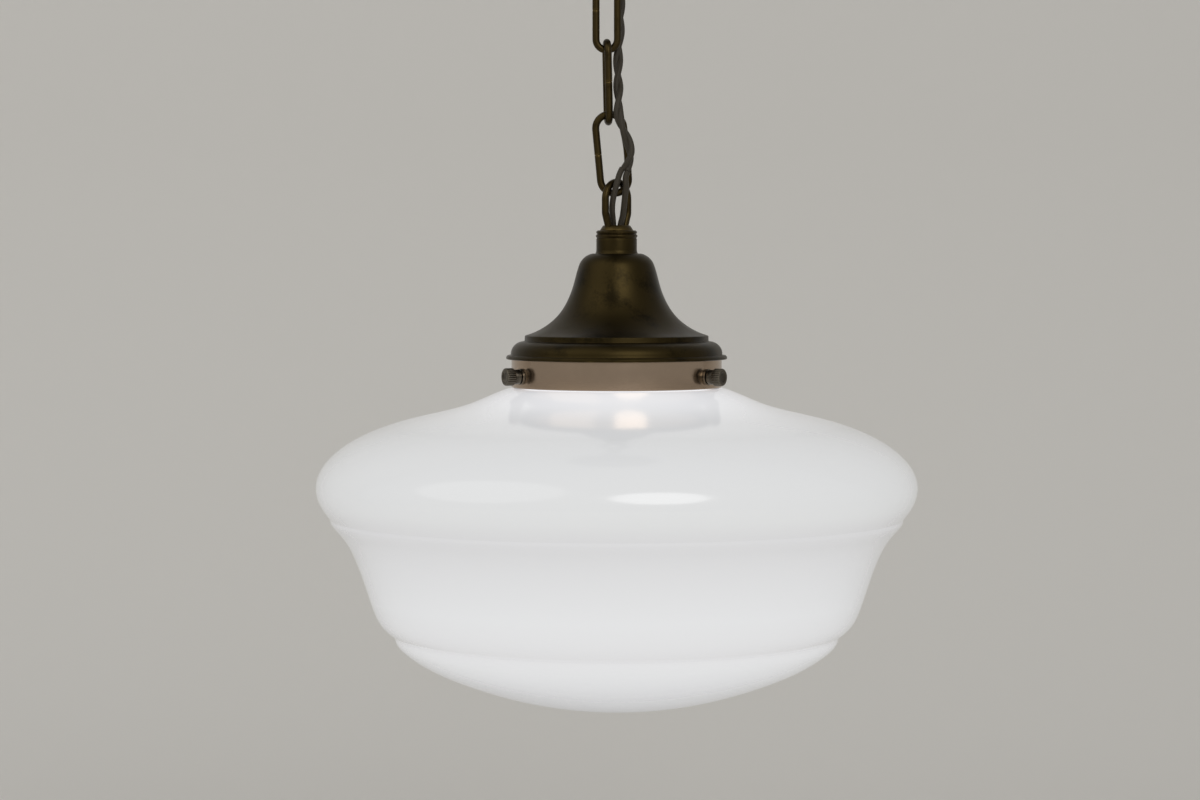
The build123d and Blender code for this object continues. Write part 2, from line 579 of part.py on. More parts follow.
def glass_shade():
    """The blown glass shade: neck, domed shoulder, two moulded steps and a shallow closed bowl."""
    neck, lip = GLASS_NECK, GLASS_LIP
    top, base = GLASS_TOP, GLASS_BASE
    under_lip = top - GLASS_LIP_HEIGHT
    neck_foot = under_lip - GLASS_NECK_HEIGHT
    bend = GLASS_NECK_BEND
    slant = bend * (1 - math.sqrt(0.5))
    rounding = GLASS_LIP_ROUND
    round_slant = rounding * (1 - math.sqrt(0.5))
    collar = ThreePointArc(at(neck, neck_foot), at(neck + slant, base + slant), at(neck + bend, base))
    shoulder = drawn(
        collar @ 1, blown(0.3857, 0.0106), blown(0.483, 0.0484), blown(0.6456, 0.0888), blown(0.7808, 0.1241),
        blown(0.8781, 0.1651), blown(0.9547, 0.2185), blown(0.9927, 0.2713), blown(1.0, 0.3085),
        blown(0.986, 0.3588), blown(0.9567, 0.3985), ends=[(1, 0, 0), (-0.62, 0, -0.78)],
    )
    skirt = drawn(
        blown(0.952, 0.414), blown(0.9207, 0.4494), blown(0.8914, 0.4885), blown(0.8634, 0.545),
        blown(0.8288, 0.6381), blown(0.8081, 0.6934), blown(0.7901, 0.7263), blown(0.7435, 0.766),
        ends=[(-0.5, 0, -0.86), (-0.85, 0, -0.5)],
    )
    bowl = drawn(
        blown(0.7388, 0.7803), blown(0.7102, 0.8156), blown(0.6289, 0.8653), blown(0.4997, 0.9168),
        blown(0.3331, 0.964), blown(0.1666, 0.991), blown(0, 1), ends=[(-0.2, 0, -1), (-1, 0, 0)],
    )
    inside = [
        at(0, (bowl @ 1).Z + GLASS_WALL),
        *beside(bowl, -GLASS_WALL, (0.8, 0.6, 0.4, 0.2, 0.12)),
        *beside(skirt, -GLASS_WALL, (0.84, 0.65, 0.4, 0.15)),
        *beside(shoulder, -GLASS_WALL, (0.92, 0.85, 0.78, 0.65, 0.5, 0.35, 0.2, 0.09)),
        at(neck - GLASS_WALL, neck_foot - 1),
    ]
    inner_neck = neck - GLASS_WALL
    return turned(
        Line(at(inner_neck, top), at(lip - rounding, top)),
        ThreePointArc(
            at(lip - rounding, top), at(lip - round_slant, top - round_slant), at(lip, top - rounding)
        ),
        Line(at(lip, top - rounding), at(lip, under_lip)),
        Line(at(lip, under_lip), at(neck, under_lip)),
        Line(at(neck, under_lip), collar @ 0),
        collar,
        shoulder,
        Line(shoulder @ 1, skirt @ 0),
        skirt,
        Line(skirt @ 1, bowl @ 0),
        bowl,
        Line(bowl @ 1, inside[0]),
        drawn(*inside, ends=[(1, 0, 0), (0, 0, 1)]),
        Line(inside[-1], at(inner_neck, top)),
    )


def neck_pieces():
    """The turned pieces between the loop and the bell, stacked on the threaded tube."""
    inner = STEM_RADIUS + FIT_GAP / 2
    edge = NECK_CAP_RADIUS
    cap = turned_points(
        (inner, NECK_CAP_TOP), (edge - 1.0, NECK_CAP_TOP), (edge - 0.3, NECK_CAP_TOP - 0.7),
        (edge - 0.3, NECK_CAP_TOP - 1.4), (edge - 0.9, NECK_CAP_TOP - 1.8), (edge - 0.2, NECK_CAP_TOP - 2.3),
        (edge, NECK_CAP_TOP - 2.3 - NECK_BEAD / 2), (edge - 0.2, NECK_CAP_TOP - 2.3 - NECK_BEAD),
        (edge - 0.6, COLLAR_TOP), (inner, COLLAR_TOP),
    )
    flare = ThreePointArc(
        at(COLLAR_RADIUS, BELL_TOP + 1.8), at(COLLAR_RADIUS + 0.15, BELL_TOP + 0.8),
        at(COLLAR_RADIUS + COLLAR_FLARE, BELL_TOP),
    )
    collar = turned(
        Line(at(inner, COLLAR_TOP), at(COLLAR_RADIUS, COLLAR_TOP)),
        Line(at(COLLAR_RADIUS, COLLAR_TOP), flare @ 0),
        flare,
        Line(flare @ 1, at(inner, BELL_TOP)),
        Line(at(inner, BELL_TOP), at(inner, COLLAR_TOP)),
    )
    return {"neck_cap": cap, "neck_collar": collar}


def lampholder():
    """A porcelain lampholder in two halves, with its liner, contact, terminals and screws."""
    hole, top, joint = TUBE_RADIUS + THREAD_GAP, HOLDER_TOP_Z, HOLDER_JOINT
    foot, floor = joint - HOLDER_HEIGHT, HOLDER_FLOOR_Z
    radius, wall = HOLDER_CAP_RADIUS, HOLDER_CAP_WALL
    dome = turned_points((0, top), (radius - 5, top), (radius, top - 5), (radius, joint), (0, joint))
    hollow = turned_points(
        (0, top - wall - 1), (radius - wall - 3, top - wall - 1), (radius - wall, top - wall - 3),
        (radius - wall, joint - 1), (0, joint - 1),
    )
    mouth = SHELL_RADIUS + PORCELAIN_GAP
    recess_floor = floor + HOLDER_FLOOR_THICKNESS
    body = turned_points(
        (0, recess_floor), (HOLDER_RECESS, recess_floor), (HOLDER_RECESS, joint), (radius, joint),
        (HOLDER_RADIUS, joint - 2), (HOLDER_RADIUS, foot + 1.5), (HOLDER_RADIUS - 1.5, foot), (mouth, foot),
        (mouth, floor), (0, floor),
    )
    screw_top = joint + HOLDER_SCREW_LENGTH / 2
    pocket = Cylinder(HOLDER_SCREW_RADIUS + THREAD_GAP, HOLDER_SCREW_LENGTH + 1)
    shank = Cylinder(HOLDER_SCREW_RADIUS, HOLDER_SCREW_LENGTH)
    screws, terminals, pockets, posts = Part(), Part(), Part(), Part()
    for side in (-1, 1):
        place = Pos(side * HOLDER_SCREW_X, 0, joint)
        posts += place * Cylinder(2.4 * HOLDER_SCREW_RADIUS, 2 * HOLDER_CAP_HEIGHT)
        pockets += place * pocket
        screws += place * shank
        terminals += Pos(side * TERMINAL_X, 0, recess_floor + TERMINAL_SIZE[2] / 2) * Box(*TERMINAL_SIZE)
    liner_top = floor - PORCELAIN_GAP
    strip = CONTACT_STRIP
    contact = Pos(0, 0, floor - strip / 2) * Cylinder(CONTACT_RADIUS, strip)
    bends = [(-3.0, 0.1 * strip), (2.6, -1.2), (3.2, -2.2), (0.0, 0.4 - CONTACT_SPRING)]
    blade = Polyline(*[at(x, floor - strip + z) for x, z in bends])
    return {
        "holder_cap": (dome - (hollow - posts)) - Pos(0, 0, top) * Cylinder(hole, 4 * wall) - pockets,
        "holder_body": body - pockets,
        "holder_liner": tube(SHELL_RADIUS, SHELL_RADIUS - SHELL_WALL, liner_top, liner_top - SHELL_LENGTH),
        "holder_contact": contact + thick_strip(blade, strip, 3.0),
        "holder_screws": screws,
        "holder_terminals": terminals,
    }


def thick_strip(line, thickness, width):
    """A flat strip that follows a line of straight runs in the XZ plane."""
    pieces = Part()
    for edge in line.edges():
        a, b = edge @ 0, edge @ 1
        along = (b - a).normalized()
        middle = (a + b) * 0.5
        plane = Plane(middle, x_dir=along, z_dir=Vector(0, 1, 0))
        pieces += plane * Box((b - a).length + thickness * 0.8, thickness, width)
    return pieces


def bulb():
    """An opal bulb with its screw cap, contact, stem and filament, its contact's tip at the top."""
    tip = BULB_TIP
    cap_top = tip - BULB_CAP_DROP
    cap_foot = cap_top - BULB_CAP_LENGTH
    centre = tip - BULB_LENGTH + BULB_RADIUS
    up = math.radians(32)
    joint = at(BULB_RADIUS * math.cos(up), centre + BULB_RADIUS * math.sin(up))
    neck = drawn(
        at(BULB_NECK, cap_foot + 2.0), at(BULB_NECK + 1.6, cap_foot - 9.0), joint,
        ends=[(0, 0, -1), (math.sin(up), 0, -math.cos(up))],
    )
    low = math.radians(-30)
    dome = ThreePointArc(
        joint, at(BULB_RADIUS * math.cos(low), centre + BULB_RADIUS * math.sin(low)),
        at(0, centre - BULB_RADIUS),
    )
    inner = BULB_RADIUS - BULB_WALL
    inner_joint = at(inner * math.cos(up), centre + inner * math.sin(up))
    inner_neck = drawn(
        inner_joint, at(BULB_NECK + 1.6 - BULB_WALL, cap_foot - 9.0),
        at(BULB_NECK - BULB_WALL, cap_foot + 2.0),
        ends=[(-math.sin(up), 0, math.cos(up)), (0, 0, 1)],
    )
    glass = turned(
        neck,
        dome,
        Line(dome @ 1, at(0, centre - inner)),
        ThreePointArc(
            at(0, centre - inner), at(inner * math.cos(low), centre + inner * math.sin(low)), inner_joint
        ),
        inner_neck,
        Line(inner_neck @ 1, neck @ 0),
    )
    radius, wall = BULB_CAP_RADIUS, BULB_CAP_WALL
    cap = turned_points(
        (radius - 3.5, cap_top), (radius - 1.0, cap_top - 2.0), (radius, cap_top - 3.5), (radius, cap_foot),
        (radius - wall, cap_foot), (radius - wall, cap_top - 3.6), (radius - 1.2, cap_top - 2.3),
        (radius - 3.6, cap_top - 0.4),
    )
    insulator = turned_points(
        (0, tip - 0.9), (BULB_CONTACT, tip - 0.9), (radius - 3.7, cap_top - 0.4),
        (radius - 1.3, cap_top - 2.4), (radius - 1.3, cap_top - 4.5), (0, cap_top - 4.5),
    )
    contact = turned_points(
        (0, tip), (BULB_CONTACT - 1.5, tip), (BULB_CONTACT, tip - 0.9), (0, tip - 0.9)
    )
    stem_top = cap_foot + 2.0
    stem_foot = stem_top - BULB_STEM_LENGTH
    stem = turned_points(
        (0, stem_top), (BULB_NECK - BULB_WALL, stem_top), (STEM_FOOT, stem_top - 4.0),
        (STEM_TIP, stem_foot + 14.0), (STEM_TIP, stem_foot), (0, stem_foot),
    )
    half = FILAMENT_WIDTH / 2
    start = at(-STEM_TIP + 0.6, stem_foot + 3.0)
    route = [start, at(-half, stem_foot - 2.0), at(-half + 2, stem_foot - 12.0)]
    route += [at(half - 2, stem_foot - 12.0), at(half, stem_foot - 2.0), at(STEM_TIP - 0.6, stem_foot + 3.0)]
    filament = swept(FilletPolyline(*route, radius=2.0), FILAMENT_WIRE / 2) - stem
    return {
        "bulb_glass": glass,
        "bulb_cap": cap,
        "bulb_insulator": insulator,
        "bulb_contact": contact,
        "bulb_stem": stem,
        "bulb_filament": filament,
    }


def arc_radii(points):
    """Each corner's radius: the largest whose arc takes no more than its share of the shorter run."""
    radii = []
    for a, b, c in zip(points, points[1:], points[2:]):
        turn = math.radians((b - a).get_angle(c - b))
        run = min((b - a).length, (c - b).length)
        radii.append(ARC_RATIO * run / math.tan(turn / 2))
    return radii


def cord_tube(name, points, radii, diameter):
    """A plain round tube along straight runs and tangent arcs."""
    path = FilletPolyline(*points, radius=radii)
    solid = swept(path, diameter / 2)
    expected = path.length * math.pi * diameter**2 / 4
    print(f"{name}: {path.length:.1f} long, radii {[round(r, 1) for r in radii]}, "
          f"volume {solid.volume / expected:.4f} of section times length")
    return solid


def cord_points():
    """The corners of the twisted cord's route."""
    return [Vector(x, y, CANOPY_BOSS_TOP + z) for x, y, z in CORD_ROUTE]


def cord_stretches():
    """The twisted cord, cut beside the middle of each link so that each stretch bends at one joint."""
    points = cord_points()
    radii = arc_radii(points)
    cuts = [0, *STRETCH_RUN_COUNTS, None]
    stretches = {}
    for i, (first, last) in enumerate(zip(cuts, cuts[1:])):
        route = [points[0]] if first == 0 else [(points[first] + points[first + 1]) * 0.5]
        corners = range(first + 1, len(points) - 1) if last is None else range(first + 1, last + 1)
        route += [points[k] for k in corners]
        route.append(points[-1] if last is None else (points[last] + points[last + 1]) * 0.5)
        name = f"cord_stretch_{i + 1}"
        stretches[name] = cord_tube(name, route, [radii[k - 1] for k in corners], CORD_DIAMETER)
    return stretches


def cord_cores():
    """The two cores below the split, side by side where the twisted cord ends."""
    before, end = cord_points()[-2:]
    along = (end - before).normalized()
    across = along.cross(Vector(0, 1, 0)).normalized() * (CORE_DIAMETER / 2 + CORE_GAP)
    cores = {}
    for side, sign in (("left", -1), ("right", 1)):
        start = end + across * sign
        lamp = Vector(LAMP_X, 0, LAMP_BOSS_TOP)
        foot = lamp + Vector(sign * (CORE_DIAMETER / 2 + CORE_GAP), 0, 0)
        points = [
            start, start + along * SPLIT_RUN, *[lamp + Vector(*p) for p in CORE_ROUTES[side]],
            foot + Vector(0, 0, -0.5), foot + Vector(0, 0, -CORE_END),
        ]
        name = f"cord_core_{side}"
        cores[name] = cord_tube(name, points, arc_radii(points), CORE_DIAMETER)
    return cores


def leads():
    """The cores' hidden ends: up in the canopy to the terminal block, and down in the lamp to the holder."""
    half = CORE_DIAMETER / 2 + CORE_GAP
    tube_top = BRIDGE_TOP + CANOPY_TUBE_TOP
    entry = BRIDGE_TOP + BLOCK_SIZE[2] / 2 - 1
    block_face = BLOCK_X - BLOCK_SIZE[0] / 2
    terminal_top = HOLDER_FLOOR_Z + HOLDER_FLOOR_THICKNESS + TERMINAL_SIZE[2]
    made = {}
    for side, sign in (("left", -1), ("right", 1)):
        pole = sign * POLE_PITCH / 2
        up = [
            Vector(0, sign * half, cord_points()[0].Z), Vector(0.1, sign * half, BRIDGE_TOP - 8),
            Vector(0, sign * half, tube_top + 1.2), Vector(2.4, sign * (half + 0.7), tube_top + 4.6),
            Vector(block_face - 3.0, pole, entry), Vector(block_face + 2.5, pole, entry),
        ]
        made[f"canopy_lead_{side}"] = cord_tube(f"canopy_lead_{side}", up, arc_radii(up), CORE_DIAMETER)
        top = LAMP_BOSS_TOP - CORE_END
        third = (top - HOLDER_TOP_Z) / 3
        down = [
            Vector(sign * half, 0, top), Vector(sign * half, 0, top - third),
            Vector(sign * half, 0.3, top - 2 * third), Vector(sign * half, 0.1, HOLDER_TOP_Z - 6.5),
            Vector(sign * TERMINAL_X, 0, terminal_top + 3.2), Vector(sign * TERMINAL_X, 0, terminal_top),
        ]
        made[f"lamp_lead_{side}"] = cord_tube(f"lamp_lead_{side}", down, arc_radii(down), CORE_DIAMETER)
    return made


def nodes():
    """Every piece by name, where it hangs."""
    made = ceiling_end()
    for i, (top, _) in enumerate(LINK_PLACES):
        link = chain_link(LINK_WIDTHS[i], LINK_YAWS[i], LINK_LEANS[i], LINK_BOWS[i], top)
        made[f"chain_link_{i + 1}"] = link
    loop = Rot(0, 0, LAMP_LOOP_YAW) * loop_on_boss(STEM_RADIUS, LAMP_STEM)
    lamp = {
        "lamp_loop": Pos(0, 0, LAMP_BOSS_TOP) * loop,
        **neck_pieces(),
        "bell_cover": bell_cover(),
        "lamp_tube": tube(TUBE_RADIUS, TUBE_BORE, LAMP_BOSS_TOP - BOSS_MOUTH_DEPTH, HOLDER_TOP_Z - 5),
        "fitter": fitter(),
        "fitter_bushings": bushings(),
        "lock_washer": tube(
            WASHER_RADIUS, TUBE_RADIUS + THREAD_GAP, FITTER_TOP - FITTER_WALL,
            FITTER_TOP - FITTER_WALL - WASHER_THICKNESS,
        ),
        "fitter_nut": hex_nut(FITTER_TOP - FITTER_WALL - WASHER_THICKNESS),
        **lampholder(),
        **bulb(),
        "glass_shade": glass_shade(),
    }
    for i, angle in enumerate(screw_angles()):
        lamp[f"thumb_screw_{i + 1}"] = thumb_screw(angle)
    for name, piece in leads().items():
        if name.startswith("lamp"):
            lamp[name] = piece
        else:
            made[name] = piece
    for name, piece in lamp.items():
        made[name] = Pos(LAMP_X, 0, 0) * piece
    made.update(cord_stretches())
    made.update(cord_cores())
    return made


def main():
    os.makedirs("parts", exist_ok=True)
    for name, piece in nodes().items():
        export_step(piece, f"parts/{name}.step")


if __name__ == "__main__":
    main()
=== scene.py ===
# %% [markdown]
# # A schoolhouse pendant lamp
#
# The real lamp hangs from a ceiling on four links of chain. A spun brass bell carries a bright band, three
# knurled screws in that band hold a broad, stepped shade of opal glass, and a twisted cloth-covered cord
# runs down beside the chain. The engineering model of every piece is already there, so this lesson loads it
# as a fixed frame, builds finer surfaces over what shows, and gives each piece the finish that the real
# material has.

import json

import bmesh
import bpy
import numpy as np
from mathutils import Matrix, Vector


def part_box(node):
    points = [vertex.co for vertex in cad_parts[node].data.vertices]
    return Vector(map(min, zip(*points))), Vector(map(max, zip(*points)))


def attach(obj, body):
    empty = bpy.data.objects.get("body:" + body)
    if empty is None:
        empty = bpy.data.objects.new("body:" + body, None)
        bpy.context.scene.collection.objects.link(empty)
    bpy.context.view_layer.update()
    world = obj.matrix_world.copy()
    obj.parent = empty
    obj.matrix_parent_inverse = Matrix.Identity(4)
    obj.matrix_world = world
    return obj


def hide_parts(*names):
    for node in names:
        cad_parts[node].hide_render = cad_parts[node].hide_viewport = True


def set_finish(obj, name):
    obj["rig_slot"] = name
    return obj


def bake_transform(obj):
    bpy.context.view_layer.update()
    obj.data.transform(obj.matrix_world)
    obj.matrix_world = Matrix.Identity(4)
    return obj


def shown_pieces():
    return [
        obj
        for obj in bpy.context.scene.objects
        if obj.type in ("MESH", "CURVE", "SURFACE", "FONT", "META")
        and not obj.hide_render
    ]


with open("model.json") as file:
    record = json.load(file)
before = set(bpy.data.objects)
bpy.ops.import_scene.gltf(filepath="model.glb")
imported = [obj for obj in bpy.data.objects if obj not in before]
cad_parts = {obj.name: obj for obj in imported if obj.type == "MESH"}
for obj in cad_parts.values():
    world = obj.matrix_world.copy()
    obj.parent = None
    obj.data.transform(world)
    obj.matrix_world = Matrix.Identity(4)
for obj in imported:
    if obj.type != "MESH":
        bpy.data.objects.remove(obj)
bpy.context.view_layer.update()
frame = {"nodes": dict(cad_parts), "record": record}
MM = 0.001

# %% [markdown]
# ## The camera
#
# A lens can be found from the photograph itself: the bright band is a true circle, so the flatness of its
# ellipse gives the camera's height, and the size of near against far edges gives its distance. The camera
# came out a little below the chain, one and a half metres away, looking about two and a half degrees down.
# The lamp's axis is a touch right of the picture's middle, so the camera stands that much to its left.

# %% Camera
LAMP_X = float(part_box("glass_shade")[0][0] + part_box("glass_shade")[1][0]) / 2 / MM
CAMERA_HEIGHT = -239.2
CAMERA_DISTANCE = 1490.0
CAMERA_LEFT = 8.3
LOOK_DOWN = 2.594
LENS = 89.4

camera_data = bpy.data.cameras.new("camera")
camera_data.lens = LENS
camera_data.sensor_width = 36
camera_data.sensor_fit = "HORIZONTAL"
camera_data.clip_start = 0.05
camera_data.clip_end = 60
camera = bpy.data.objects.new("camera", camera_data)
camera.location = Vector((LAMP_X - CAMERA_LEFT, -CAMERA_DISTANCE, CAMERA_HEIGHT)) * MM
camera.rotation_euler = (np.radians(90 - LOOK_DOWN), 0, 0)
bpy.context.collection.objects.link(camera)
bpy.context.scene.camera = camera
print("camera at", [round(v, 3) for v in camera.location])

# %% [markdown]
# ## Surfaces as arrays
#
# Nearly every piece of this lamp was spun, turned, blown or drawn, so two kinds of surface are enough. A
# turned piece is an outline carried round the axis, and a wire or a cord is a circle carried along a line.
# Both are grids of points, and numpy works a whole grid out at once. The alternative, Blender's own Spin
# and Curve tools, gives the same shapes but leaves less control over where the pattern of a finish lies.

# %% Lines that outlines are made of


def smooth_line(points, start, end, steps=12):
    """A line through all the points: cubic pieces whose slopes agree where they meet. The slopes at the inner
    points solve one linear system, in which the bending on both sides of each point is the same. The headings
    start and end hold the slopes at the two ends."""
    p = np.array(points, float)
    chord = np.linalg.norm(np.diff(p, axis=0), axis=1)
    n = len(p)
    system, known = np.zeros((n, n)), np.zeros_like(p)
    inner = np.arange(1, n - 1)
    system[inner, inner - 1] = 1 / chord[:-1]
    system[inner, inner] = 2 / chord[:-1] + 2 / chord[1:]
    system[inner, inner + 1] = 1 / chord[1:]
    rise = np.diff(p, axis=0) / chord[:, None]
    known[inner] = 3 * (rise[:-1] / chord[:-1, None] + rise[1:] / chord[1:, None])
    for row, heading in ((0, start), (n - 1, end)):
        system[row, row] = 1
        known[row] = np.array(heading, float) / np.linalg.norm(heading)
    slope = np.linalg.solve(system, known)
    t = np.linspace(0, 1, steps, endpoint=False)[None, :, None]
    a, b = p[:-1, None], p[1:, None]
    u, v = slope[:-1, None] * chord[:, None, None], slope[1:, None] * chord[:, None, None]
    line = (2 * t**3 - 3 * t**2 + 1) * a + (t**3 - 2 * t**2 + t) * u
    line = line + (3 * t**2 - 2 * t**3) * b + (t**3 - t**2) * v
    return np.vstack([line.reshape(-1, p.shape[1]), p[-1:]])


def arc(a, b, c, steps=10):
    """The circle's arc from a through b to c: the centre is where the two chords' middle lines cross."""
    a, b, c = (np.array(p, float) for p in (a, b, c))
    centre = np.linalg.solve(2 * np.array([b - a, c - a]), [b @ b - a @ a, c @ c - a @ a])
    first, middle, last = (np.arctan2(*(p - centre)[::-1]) for p in (a, b, c))
    turn = (last - first) % (2 * np.pi)
    if (middle - first) % (2 * np.pi) > turn:
        turn -= 2 * np.pi
    angle = first + np.linspace(0, turn, steps + 1)
    return centre + np.linalg.norm(a - centre) * np.column_stack([np.cos(angle), np.sin(angle)])


def eased(points, radius, steps=4):
    """Straight lines through the points with each corner eased by a small arc. An arc starts and ends as far
    from its corner as the radius times the tangent of half the turn, and takes at most 0.45 of a line."""
    p = np.array(points, float)
    out = [p[:1]]
    for before, corner, after in zip(p, p[1:], p[2:]):
        back, on = before - corner, after - corner
        reach_back, reach_on = np.linalg.norm(back), np.linalg.norm(on)
        half = np.arccos(np.clip(back @ on / reach_back / reach_on, -1, 1)) / 2
        cut = min(radius / np.tan(half), 0.45 * reach_back, 0.45 * reach_on)
        t = np.linspace(0, 1, steps + 1)[:, None]
        first, last = corner + back / reach_back * cut, corner + on / reach_on * cut
        out.append((1 - t) ** 2 * first + 2 * t * (1 - t) * corner + t**2 * last)
    out.append(p[-1:])
    return np.vstack(out)


def joined(*lines):
    """One line from several, without the points that repeat where they meet."""
    line = np.vstack([np.atleast_2d(np.array(part, float)) for part in lines])
    step = np.linalg.norm(np.diff(line, axis=0), axis=1)
    return line[np.concatenate([[True], step > 1e-4])]


def run_along(line):
    """Each point's distance along the line."""
    return np.concatenate([[0], np.cumsum(np.linalg.norm(np.diff(line, axis=0), axis=1))])


def beside(line, distance):
    """The line moved to its left by a distance, along the normals of its points."""
    along = np.gradient(line, axis=0)
    along /= np.linalg.norm(along, axis=1)[:, None]
    return line + np.column_stack([-along[:, 1], along[:, 0]]) * distance


# %% Grids that become meshes


def mesh_of(name, grid, uv, round_first, round_second, sharp=35):
    """A mesh from a grid of points, one quad between each four neighbours. round_first and round_second say
    whether the grid's first and second directions close on themselves. uv holds a value for each corner of
    the closed-out grid, so the seam's last column has its own values. An edge with a turn over sharp degrees
    is a crisp one."""
    rows, columns = grid.shape[:2]
    i = np.arange(rows if round_first else rows - 1)
    j = np.arange(columns if round_second else columns - 1)
    i, j = np.meshgrid(i, j, indexing="ij")
    i2, j2 = (i + 1) % rows, (j + 1) % columns
    faces = np.stack([i * columns + j, i2 * columns + j, i2 * columns + j2, i * columns + j2], axis=-1)
    mesh = bpy.data.meshes.new(name)
    mesh.from_pydata((grid.reshape(-1, 3) * MM).tolist(), [], faces.reshape(-1, 4).tolist())
    layer = mesh.uv_layers.new(name="along_and_round")
    corners = np.stack([uv[i, j], uv[i + 1, j], uv[i + 1, j + 1], uv[i, j + 1]], axis=2).reshape(-1, 2)
    layer.data.foreach_set("uv", corners.astype(np.float32).ravel())
    mesh.shade_smooth()
    mesh.set_sharp_from_angle(angle=np.radians(sharp))
    piece = bpy.data.objects.new(name, mesh)
    bpy.context.collection.objects.link(piece)
    return piece


def closed_up(piece):
    """Points that lie on each other, at seams and poles, are made one, and faces without area go."""
    work = bmesh.new()
    work.from_mesh(piece.data)
    bmesh.ops.remove_doubles(work, verts=work.verts, dist=1e-6)
    bmesh.ops.dissolve_degenerate(work, dist=1e-7, edges=work.edges)
    bmesh.ops.recalc_face_normals(work, faces=work.faces)
    work.to_mesh(piece.data)
    work.free()
    return piece


def turned(name, outline, segments, centre=(LAMP_X, 0)):
    """A closed outline of (radius, height) carried round the vertical axis:
    x = cx + r cos(a), y = cy + r sin(a)."""
    outline = np.array(outline, float)
    if np.linalg.norm(outline[0] - outline[-1]) < 1e-4:
        outline = outline[:-1]
    angle = np.linspace(0, 2 * np.pi, segments, endpoint=False)
    radius, height = outline[:, :1], outline[:, 1:]
    grid = np.stack(
        [centre[0] + radius * np.cos(angle), centre[1] + radius * np.sin(angle), height + 0 * angle], axis=-1
    )
    run = run_along(np.vstack([outline, outline[:1]]))
    u, v = np.meshgrid(run, np.arange(segments + 1) / segments, indexing="ij")
    return closed_up(mesh_of(name, grid, np.stack([u, v], axis=-1), True, True))


def tube_along(name, line, radius, side, sides):
    """A round tube along a line of points. Each ring lies across the line's heading t, in the directions n
    and t x n, where n is a fixed direction, side, made square to t. radius may be one number or one for each
    point. The ends are drawn in to a point, which closes them."""
    line = np.array(line, float)
    radius = np.broadcast_to(np.array(radius, float), len(line))
    along = np.gradient(line, axis=0)
    along /= np.linalg.norm(along, axis=1)[:, None]
    side = np.broadcast_to(np.array(side, float), line.shape)
    n = side - (side * along).sum(axis=1)[:, None] * along
    n /= np.linalg.norm(n, axis=1)[:, None]
    b = np.cross(along, n)
    line = np.vstack([line[:1], line, line[-1:]])
    n, b = np.vstack([n[:1], n, n[-1:]]), np.vstack([b[:1], b, b[-1:]])
    radius = np.concatenate([[1e-5], radius, [1e-5]])
    angle = np.linspace(0, 2 * np.pi, sides, endpoint=False)
    ring = n[:, None] * np.cos(angle)[None, :, None] + b[:, None] * np.sin(angle)[None, :, None]
    grid = line[:, None] + ring * radius[:, None, None]
    u, v = np.meshgrid(run_along(line), np.arange(sides + 1) / sides, indexing="ij")
    return closed_up(mesh_of(name, grid, np.stack([u, v], axis=-1), False, True, 60))


def merged(name, *pieces):
    """Several meshes as one piece."""
    work = bmesh.new()
    for piece in pieces:
        work.from_mesh(piece.data)
        bpy.data.objects.remove(piece)
    mesh = bpy.data.meshes.new(name)
    work.to_mesh(mesh)
    work.free()
    whole = bpy.data.objects.new(name, mesh)
    bpy.context.collection.objects.link(whole)
    return whole


def set_in_frame(piece, body, slot, *nodes):
    """Rides a piece on its body, names its finish and hides the nodes that it stands for."""
    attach(piece, body)
    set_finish(piece, slot)
    if nodes:
        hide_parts(*nodes)
    print(piece.name, "on", body, "-", len(piece.data.polygons), "faces")


# %% [markdown]
# ## Heights
#
# Each piece is stacked on the one below or hangs from the one above. The few heights where they meet come
# from the engineering model's own boxes, so that the finer surfaces meet the pieces that stay. All sizes
# are millimetres. The holes let the threaded tube and the loop's stem pass.

# %% Heights where pieces meet


def edge_height(node, side):
    """A node's lowest or highest point in millimetres."""
    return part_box(node)[0 if side == "low" else 1][2] / MM


bell_top = edge_height("bell_cover", "high")
bell_foot = edge_height("bell_cover", "low")
collar_top = edge_height("neck_collar", "high")
cap_top = edge_height("neck_cap", "high")
glass_top = edge_height("glass_shade", "high")
fitter_top = edge_height("fitter", "high")
fitter_foot = edge_height("fitter", "low")
canopy_foot = edge_height("canopy", "low")
screw_height = fitter_top - 9.8
TUBE_HOLE = 5.3
COLLAR_HOLE = 7.2
COLLAR_RADIUS = 10.15
print("bell", round(bell_top, 2), round(bell_foot, 2), "glass", round(glass_top, 2))

# %% [markdown]
# ## The bell
#
# The bell is one sheet of brass spun over a wooden form: a flat top under the collar, a rounded shoulder, a
# long flare, and two steps that end in a lip. A spun sheet has the same wall everywhere, so its inside is
# the outside moved inwards by the wall, and the edge of each step is eased, because sheet metal can't be
# spun to a sharp corner.

# %% Bell cover
SHEET = 1.0


